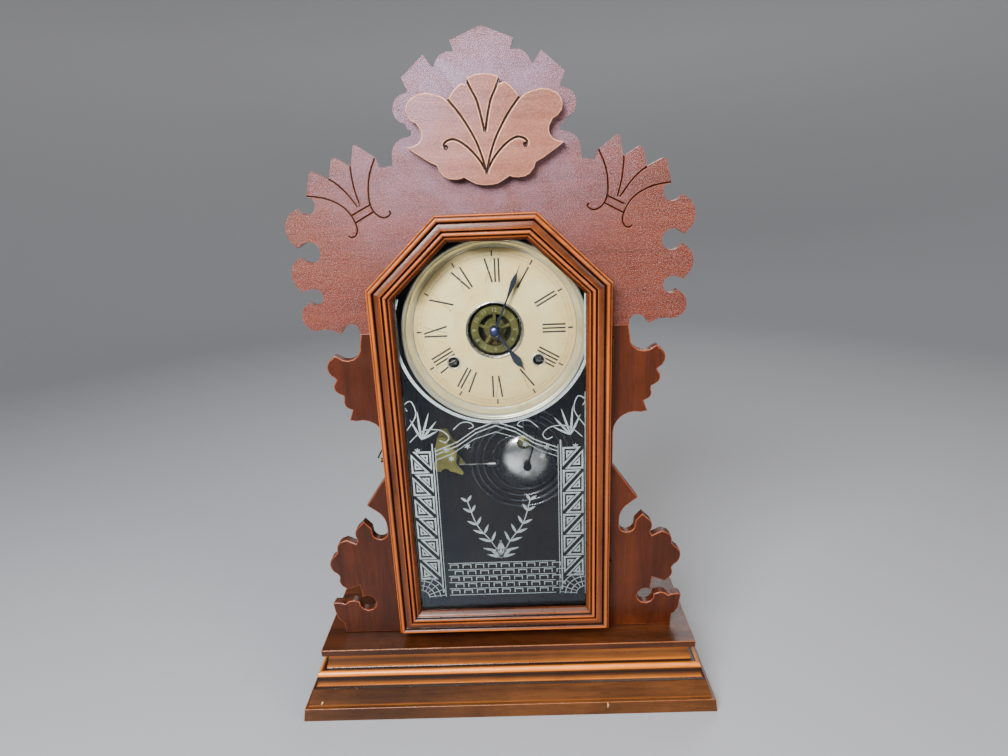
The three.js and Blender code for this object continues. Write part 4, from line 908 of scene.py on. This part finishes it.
MITRE_GAP = 0.1
front = bmesh.new()
left, right = drawn_apart(base_corner(-1), base_corner(1), MITRE_GAP)
swept(front, section, between(left, right), tone=tone)
finished("base_moulding_planed_front", front, base_walnut, "case", "base_moulding_front", 24)
for side, name in ((-1, "left"), (1, "right")):
    run = bmesh.new()
    near = drawn_apart(base_corner(side), base_end(side), MITRE_GAP)[0]
    swept(run, section, between(near, base_end(side)), tone=tone)
    finished("base_moulding_planed_" + name, run, base_side_walnut, "case",
             "base_moulding_" + name, 24)
# The rounded edges of the plinth and the deck are painted paler, both rubbed wear and a painted highlight.
finished("plinth_soft", softened("plinth", 0.5, 3, 1), [base_walnut, worn_lit_walnut], "case",
         "plinth")
finished("deck_soft", softened("deck_board", 0.7, 3, 1), [deck_walnut, worn_lit_walnut], "case",
         "deck_board")
print("base section points:", len(section))

# %% [markdown]
# ## Two chips
# The mouldings of the base have lost two splinters, where bare wood shows. Each is a sliver that
# lies on the face of the moulding, wide in the middle and narrow at its ends.

# %% Two chips
CHIP_SECTION = [(-0.8, 0), (0.8, 0), (0.5, 0.3), (-0.5, 0.3)]
CHIP_WIDTHS = [0.4, 1, 0.3]
chips = [
    ("chip_right", -61.35, [(87.4, 6), (88.2, 9), (87.6, 11.8)]),
    ("chip_left", -57.6, [(-169, 14), (-167.8, 16.4), (-167, 17)]),
]
for name, y, spots in chips:
    chip = bmesh.new()
    swept(chip, CHIP_SECTION, along(spots, y, CHIP_WIDTHS))
    finished(name, chip, bare_wood, "case")
print("chips:", len(chips))

# %% [markdown]
# ## The bezel
# The bezel is a spun ring. Its profile starts as a thin roll on the paper, climbs a quarter of a
# wave to the outer rim and ends in a round bead.

# %% The bezel
bezel_profile = [(67.6, -2), (67.6, -2.7), *arc(68.1, -2.9, 0.5, 180, 300, 4), (68.7, -3.1), (69.2, -3.6)]
for share in (0.2, 0.4, 0.6, 0.8, 1):
    bezel_profile.append((69.2 + 4.2 * share, -3.6 - 7 * math.sin(share * math.pi / 2)))
bezel_profile += [(73.7, -10.9), *arc(74.95, -10.8, 1.25, 200, 360, 9), (76.2, -2)]
ring = bmesh.new()
turned(ring, bezel_profile, 0, DIAL_Z, 120)
finished("bezel_spun", ring, bezel_brass, "case", "bezel", 40)
print("bezel profile points:", len(bezel_profile))

# %% [markdown]
# ## The numerals
# Roman numerals stand on their own radius: thick and thin strokes with hairline serifs, each a
# very thin solid on the paper. A font would have to be bent round the dial, and clock makers draw
# four as IIII. The numerals start at twelve and go clockwise.

# %% The numerals
PAPER_FRONT = -2.4
INK = 0.05
THICK, THIN, SERIF = 1.5, 0.45, 0.32
MARGIN, SERIF_HALF = 0.9, 1.3
LETTER_FOOT, LETTER_TOP = 39.5, 58.5
HOUR_MARK = (60.4, 64.7)
NUMERALS = ("XII", "I", "II", "III", "IIII", "V", "VI", "VII", "VIII", "IX", "X", "XI")
LETTER_WIDTH = {"I": 3.1, "V": 7.0, "X": 7.4}
printed, hairlines = bmesh.new(), bmesh.new()


def stroke(shape, start, end, width, turn_clockwise=0.0):
    """A thin bar between two (across, out) points, turned clockwise round the dial."""
    angle = math.radians(turn_clockwise)
    cosine, sine = math.cos(angle), math.sin(angle)
    spots = [(s * cosine + r * sine, DIAL_Z + r * cosine - s * sine) for s, r in (start, end)]
    half = width / 2
    swept(shape, [(-half, 0), (half, 0), (half, INK), (-half, INK)], along(spots, PAPER_FRONT))


def draw_letter(letter, at, angle):
    """One letter, whose left side is at a distance across."""
    near, middle, far = at + MARGIN, at + LETTER_WIDTH[letter] / 2, at + LETTER_WIDTH[letter] - MARGIN
    thick = {"I": (middle, middle), "V": (near, middle), "X": (near, far)}[letter]
    stroke(printed, (thick[0], LETTER_TOP), (thick[1], LETTER_FOOT), THICK, angle)
    if letter != "I":
        stroke(hairlines, (far, LETTER_TOP), (middle if letter == "V" else near, LETTER_FOOT), THIN, angle)
    tips = {"I": ((middle,), (middle,)), "V": ((near, far), ()), "X": ((near, far), (near, far))}[letter]
    for height, spots in zip((LETTER_TOP, LETTER_FOOT), tips):
        for spot in spots:
            stroke(hairlines, (spot - SERIF_HALF, height), (spot + SERIF_HALF, height), SERIF, angle)


for hour, numeral in enumerate(NUMERALS):
    at = -sum(LETTER_WIDTH[letter] for letter in numeral) / 2
    for letter in numeral:
        draw_letter(letter, at, hour * 30)
        at += LETTER_WIDTH[letter]
    stroke(printed, (0, HOUR_MARK[0]), (0, HOUR_MARK[1]), 1.35, hour * 30)
finished("numerals", printed, printed_ink, "case")
print("numerals:", len(NUMERALS))

# %% [markdown]
# ## The minutes and the paper
# Two hairline circles carry the minutes, in an ink that has faded more than the numerals'. The
# paper keeps its CAD shape.

# %% The minutes and the paper
for minute in range(60):
    if minute % 5:
        stroke(hairlines, (0, 61.2), (0, 64), 0.22, minute * 6)
for radius in (61.2, 64):
    low, high = radius - 0.13, radius + 0.13
    turned(hairlines, [(low, PAPER_FRONT), (high, PAPER_FRONT), (high, PAPER_FRONT - INK),
                       (low, PAPER_FRONT - INK)], 0, DIAL_Z, 120)
print("faces of the hairlines:", len(hairlines.faces))
finished("minute_track", hairlines, faded_ink, "case")
finished("paper_sheet", merged_copy("dial_paper"), dial_paper, "case", "dial_paper")

# %% [markdown]
# ## The hands and the rings
# A nickel ring lines the centre opening and two pale ferrules line the winding holes. The blued
# hands keep their CAD shape and turn under a domed collet of bluer steel.

# %% The hands and the rings
HOLE_X, HOLE_Z = 35.5, 314
ring = bmesh.new()
turned(ring, [(22.3, -2.4), (22.3, -3), *arc(23.3, -3, 1, 180, 360, 8), (24.3, -2.4)], 0, DIAL_Z, 72)
finished("centre_ring", ring, bell_nickel, "case")
ferrule_profile = [(4.7, -2.4), (4.7, -2.8), *arc(5.4, -2.7, 0.7, 180, 360, 8), (6.1, -2.4)]
for side, name in ((-1, "left"), (1, "right")):
    ferrule = bmesh.new()
    turned(ferrule, ferrule_profile, side * HOLE_X, HOLE_Z, 40)
    finished("ferrule_" + name, ferrule, bezel_brass, "case")
collet_profile = [(0, -9.8), (4.2, -9.8), (4.2, -10.4)]
for tilt in (18, 36, 54, 72):
    rise = math.radians(tilt)
    collet_profile.append((4.2 * math.cos(rise), -10.4 - 1.7 * math.sin(rise)))
collet_profile.append((0, -12.1))
collet = bmesh.new()
turned(collet, collet_profile, 0, DIAL_Z, 40)
finished("hand_collet", collet, violet_steel, "minute")
for body in ("minute", "hour"):
    hand = body + "_hand"
    finished(hand + "_blued", softened(hand, 0.25), blued_steel, body, hand)
print("collet profile points:", len(collet_profile))

# %% [markdown]
# ## The alarm disc
# The alarm disc has raised numbers in a beaded band. A number is a text curve, which is made a
# mesh before its place is applied, and its feet point at the centre.

# %% The alarm disc
ALARM_FRONT = -1.6
NUMBER_SIZE, NUMBER_RADIUS, NUMBER_HEIGHT = 4.6, 16.7, 0.12
alarm = softened("alarm_disc", 0.15)
for radius in (13.2, 19.6):
    turned(alarm, [(radius, ALARM_FRONT), (radius + 0.25, ALARM_FRONT - 0.35), (radius + 0.55, ALARM_FRONT)],
           0, DIAL_Z, 72)
finished("alarm_disc_stamped", alarm, dull_brass, "alarm_disc", "alarm_disc")
upright = Matrix.Rotation(math.radians(90), 4, "X")
centre = Matrix.Translation(Vector((0, ALARM_FRONT - NUMBER_HEIGHT, DIAL_Z)) * MM)
numbers = bmesh.new()
for hour in range(1, 13):
    curve = bpy.data.curves.new("number", "FONT")
    curve.body = str(hour)
    curve.align_x = curve.align_y = "CENTER"
    curve.size = NUMBER_SIZE * MM
    curve.extrude = NUMBER_HEIGHT * MM
    writer = bpy.data.objects.new("number", curve)
    letters = bpy.data.meshes.new_from_object(writer)
    turn_to = Matrix.Rotation(math.radians(30 * hour), 4, "Y")
    letters.transform(centre @ turn_to @ Matrix.Translation(Vector((0, 0, NUMBER_RADIUS)) * MM) @ upright)
    numbers.from_mesh(letters)
    bpy.data.objects.remove(writer)
    bpy.data.curves.remove(curve)
    bpy.data.meshes.remove(letters)
print("faces of the numbers:", len(numbers.faces))
finished("alarm_numbers", numbers, pale_brass, "alarm_disc")

# %% [markdown]
# ## Etching
# The white pattern lies on the back of the glass in a layer far thinner than paper. Every line of
# it is a swept ribbon. `etch` draws one, with its mirror image about the door's middle, and
# `leaf` draws one that swells and tapers.

# %% Etching
GLASS_BACK = -23.86
ETCH_DEPTH = 0.03
LEAF_SHARES = (0, 0.15, 0.4, 0.7, 0.9, 1)
LEAF_WIDTHS = (0.15, 0.6, 1, 0.75, 0.35, 0.05)
etching = bmesh.new()


def etch(points, width=0.9, widths=None, both=True, closed=False):
    half = width / 2
    section = [(-half, 0), (half, 0), (half, ETCH_DEPTH), (-half, ETCH_DEPTH)]
    for path in (points, [(2 * DOOR_X - x, z) for x, z in points])[:2 if both else 1]:
        swept(etching, section, along(path, GLASS_BACK, widths, closed), closed)


def leaf(x, z, angle, length, width, both=True):
    way = Vector((math.sin(math.radians(angle)), math.cos(math.radians(angle))))
    points = [(x + way.x * length * share, z + way.y * length * share) for share in LEAF_SHARES]
    etch(points, width, LEAF_WIDTHS, both)


print("thickness of the etching:", ETCH_DEPTH, "mm")

# %% [markdown]
# ## The key border
# Each side of the lower glass has a border between double lines: a stack of steps, and in each a
# lower and an upper triangle with a smaller one inside it.

# %% The key border
RIGHT = 76.5 + DOOR_X
LEFT = 51.5
BORDER_LOW, BORDER_STEP, BORDER_COUNT = 118.0, 21.0, 6
SHRUNK = 0.34


def nested(corners):
    """A triangle and a small one round its middle."""
    etch(corners, 1.7, closed=True)
    across, up = (sum(values) / 3 for values in zip(*corners))
    etch([(across + SHRUNK * (x - across), up + SHRUNK * (z - up)) for x, z in corners], 1.5, closed=True)


etch([(RIGHT, 97), (RIGHT, 296)], 1.1)
etch([(RIGHT - 2.2, 99), (RIGHT - 2.2, 292)], 0.5)
etch([(LEFT, 104), (LEFT, 250)], 1.1)
etch([(LEFT - 2.2, 104), (LEFT - 2.2, 246)], 0.5)
inner, outer = LEFT + 2.3, RIGHT - 4.4
for index in range(BORDER_COUNT):
    foot = BORDER_LOW + index * BORDER_STEP
    head = foot + BORDER_STEP
    nested([(outer, foot + 1), (outer, head - 4.5), (inner + 3, foot + 1)])
    nested([(inner, head - 1.5), (inner, foot + 4.5), (outer - 3, head - 1.5)])
print("steps of the border:", BORDER_COUNT)

# %% [markdown]
# ## Chevrons and sprays
# Three broken lines fall away from the middle over the bell. In each upper corner a spray of
# leaves grows between curling stems, and small stars of six leaves fill the gaps.

# %% Chevrons and sprays
for drop in (0, 3.4):
    etch([(DOOR_X, 268 - drop), (14, 262 - drop), (30, 251 - drop), (49.5, 243 - drop)], 0.8)
etch([(DOOR_X, 259), (16, 253), (34, 241), (49, 235)], 0.5)
for angle, length in ((-62, 16), (-40, 21), (-18, 25), (4, 26), (24, 20)):
    leaf(60, 254, angle, length, 1.9)
etch(curved([(70, 252), (58, 262), (44, 262), (37, 256), (40, 251), (45, 253)]), 0.8)
etch(curved([(72, 262), (63, 276), (66, 288), (72, 285), (70, 280)]), 0.8)
etch(curved([(33, 262), (26, 268), (19, 268), (16, 264.5), (20, 262.5)]), 0.7)
stars = ((22, 247), (36, 236), (40, 244), (64, 244))
for x, z in stars:
    for angle in range(0, 360, 60):
        leaf(x, z, angle, 2.8, 1.0)
print("stars:", 2 * len(stars))

# %% [markdown]
# ## The fern fronds
# A plain symmetrical pair of fronds stands in the middle of the lower glass, over a tuft. Leaves
# leave the stem to both sides and get shorter towards its tip.

# %% The fern fronds
STEM_OFFSETS = ((0, 138), (8, 155), (20, 172), (27, 195))
for side in (-1, 1):
    stem_line = curved([(DOOR_X + side * across, z) for across, z in STEM_OFFSETS])
    etch(stem_line, 0.9, both=False)
    for index, (x, z) in enumerate(stem_line[2::2]):
        leaf(x, z, side * 75 - index * side * 4, 13 - index * 1.2, 2.6, both=False)
        leaf(x, z, -side * 20 - index * side * 2, 12 - index, 2.4, both=False)
for angle in range(-75, 90, 25):
    leaf(DOOR_X, 139, angle, 13, 2.6, both=False)
print("leaves on a frond:", 2 * len(stem_line[2::2]))

# %% [markdown]
# ## The ring, the bricks and the fans
# A silver ring on the glass frames the bezel, cut off where it would pass under the door. A band
# of brickwork runs along the foot, and a quarter of a cobweb fills each lower corner.

# %% The ring, the bricks and the fans
RING_X, RING_Z, RING, RING_LIMIT = DOOR_X + 1.3, 346.2, 78.4, 75.8
BRICK_LOW, BRICK_ROWS, BRICK_RISE, BRICK_HALF_BAND = 101.0, 5, 6.6, 48
BRICKS, BRICK_PITCH, BRICK_SHIFT, BRICK_LENGTH = 9, 11.4, 4, 7
WEB_X, WEB_Z, WEB_RADII = RIGHT - 2, 99, (8, 13, 18, 23)
ring_spots = [(x, z) for x, z in arc(RING_X, RING_Z, RING, 160, 380, 88) if abs(x - DOOR_X) < RING_LIMIT]
etch(ring_spots, 2.6, both=False)
for row in range(BRICK_ROWS + 1):
    z = BRICK_LOW + row * BRICK_RISE
    etch([(DOOR_X - BRICK_HALF_BAND, z), (DOOR_X + BRICK_HALF_BAND, z)], 0.7, both=False)
for row in range(BRICK_ROWS):
    low, high = BRICK_LOW + row * BRICK_RISE + 1.6, BRICK_LOW + row * BRICK_RISE + 5
    for brick in range(BRICKS):
        x = DOOR_X - 46 + brick * BRICK_PITCH + (row % 2) * BRICK_SHIFT
        etch([(x, low), (x, high), (x + BRICK_LENGTH, high), (x + BRICK_LENGTH, low)], 0.8, both=False)
for radius in WEB_RADII:
    etch(arc(WEB_X, WEB_Z, radius, 92, 178, 12), 0.8)
for angle in (104, 122, 140, 158, 174):
    spoke = math.radians(angle)
    ends = (WEB_RADII[0], WEB_RADII[-1])
    etch([(WEB_X + r * math.cos(spoke), WEB_Z + r * math.sin(spoke)) for r in ends], 0.6)
print("faces of the etching:", len(etching.faces))
finished("etched_pattern", etching, etched_white, "door")
finished("glass_pane", softened("door_glass", 0.2), clear_glass.material, "door", "door_glass")

# %% [markdown]
# ## The gong
# The gong is a flat spiral of wire. Its radius grows by one pitch a turn, after a straight lead
# and a bend out of the block. Where the bend meets the spiral, an extra growth that dies away
# keeps the wire from kinking.

# %% The gong
GONG_X, GONG_Y, GONG_Z, PITCH, TURNS = 18.6, 38.99, 205.0, 5.8, 4.25
LEAD, LEAD_LENGTH, BEND, WIRE = 8.3, 2.4, 6.0, 1.2
TURN_STEPS = 48
slope = PITCH / math.tau
bend_x = LEAD + LEAD_LENGTH + BEND
first_angle, first_radius = math.atan2(BEND, bend_x), math.hypot(bend_x, BEND)
extra = first_radius * math.tan(first_angle) - slope
wire_path = [(LEAD, 0), (LEAD + LEAD_LENGTH, 0)]
for step in range(1, 8):
    bent = math.radians(11.25 * step)
    wire_path.append((LEAD + LEAD_LENGTH + BEND * math.sin(bent), BEND * (1 - math.cos(bent))))
for step in range(round(TURNS * TURN_STEPS) + 1):
    swing = step / TURN_STEPS * math.tau
    radius = first_radius + slope * swing + extra * 2 * (1 - math.exp(-swing / 2))
    wire_path.append((radius * math.cos(first_angle + swing), radius * math.sin(first_angle + swing)))
gong = bmesh.new()
swept(gong, disc_wire(WIRE), along([(GONG_X + x, GONG_Z + z) for x, z in wire_path], GONG_Y))
finished("gong_wire", gong, gong_steel, "case", "gong_coil", 60)
print("gong wire points:", len(wire_path))

# %% [markdown]
# ## The bell and the small works
# The bell is a nickel dome in front of the gong: a quarter of an ellipse outside, and a second
# one inside it by the thickness of the wall. The black hammer ball on its wire, the alarm works
# and the small bob keep their CAD shapes.

# %% The bell and the small works
BELL_X, BELL_Z, BELL_RADIUS, BELL_APEX, BELL_RIM = 23.6, 206.0, 28.9, 23.8, 33.0
BELL_WALL, BELL_HOLE = 1, 2.6
tilts = [math.radians(7.5 * step) for step in range(13)]


def dome(radius, depth):
    return [(radius * math.sin(tilt), BELL_RIM - depth * math.cos(tilt)) for tilt in tilts]


outside = dome(BELL_RADIUS, BELL_RIM - BELL_APEX)
inside = dome(BELL_RADIUS - BELL_WALL, BELL_RIM - BELL_APEX - BELL_WALL)
bell = bmesh.new()
turned(bell, [(max(radius, BELL_HOLE), y) for radius, y in outside + inside[::-1]], BELL_X, BELL_Z, 72)
finished("bell_spun", bell, bell_nickel, "case", "bell", 50)
finished("hammer_black", softened("strike_hammer", 0.2), black_iron, "strike_hammer",
         "strike_hammer", 50)
finished("alarm_works", softened("alarm_movement", 0.3), green_brass, "case", "alarm_movement")
finished("bob_spun", softened("pendulum_bob", 0.2), dull_brass, "pendulum", "pendulum_bob", 50)
print("bell:", 2 * BELL_RADIUS, "mm across")

# %% [markdown]
# ## Everything else
# The hidden works keep their CAD shape, with soft edges. Each gets a finish for its material and
# its place: the case is painted in shade inside, and the hinges are bronze. The escape wheel is
# shown a little smaller, so that its teeth stay clear of the rocking pallets.

# %% Everything else
behaviour = frame["record"]["behaviour"]
body_of_node = {node: body for body, nodes in behaviour["bodies"].items() for node in nodes}
slot_of_node = {part["node"]: part["material_slot"] for part in frame["record"]["subparts"]}
slot_finish = {
    "door_wood": rail_walnut, "case_wood": case_pine, "brass": works_brass, "steel": grey_steel,
    "cast_iron": black_iron,
}
node_finish = {
    "back_panel": back_pine, "dial_pan": zinc_pan, "glass_retainer": case_pine,
    "mainspring_time": spring_steel, "mainspring_strike": spring_steel,
    "latch_hook": dark_bronze, "latch_screw": dark_bronze, "latch_stud": dark_bronze,
    "movement_front_plate": soot_brass, "centre_arbor": violet_steel, "hour_wheel": dull_brass,
}
ESCAPE_AXIS = Vector((21, 0, 366.7)) * MM
ESCAPE_SCALE = (0.975, 1, 0.975)
kept_shapes = [node for node in slot_of_node if node not in shown_nodes]
for node in kept_shapes:
    slot = slot_of_node[node]
    finish = dark_bronze if node.startswith("hinge") else node_finish.get(node) or slot_finish[slot]
    shape = softened(node, 0.3)
    if node == "escape_wheel":
        from_axis = Matrix.Translation(-ESCAPE_AXIS)
        bmesh.ops.scale(shape, vec=ESCAPE_SCALE, space=from_axis, verts=shape.verts)
    finished(node + "_shown", shape, finish, body_of_node[node], node)
print("nodes that keep their CAD shape:", len(kept_shapes))

# %% [markdown]
# ## The last step
# The box of the visual model is printed.

# %% Finish
low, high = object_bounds()
print("visual box:", [round(v, 4) for v in low], [round(v, 4) for v in high])
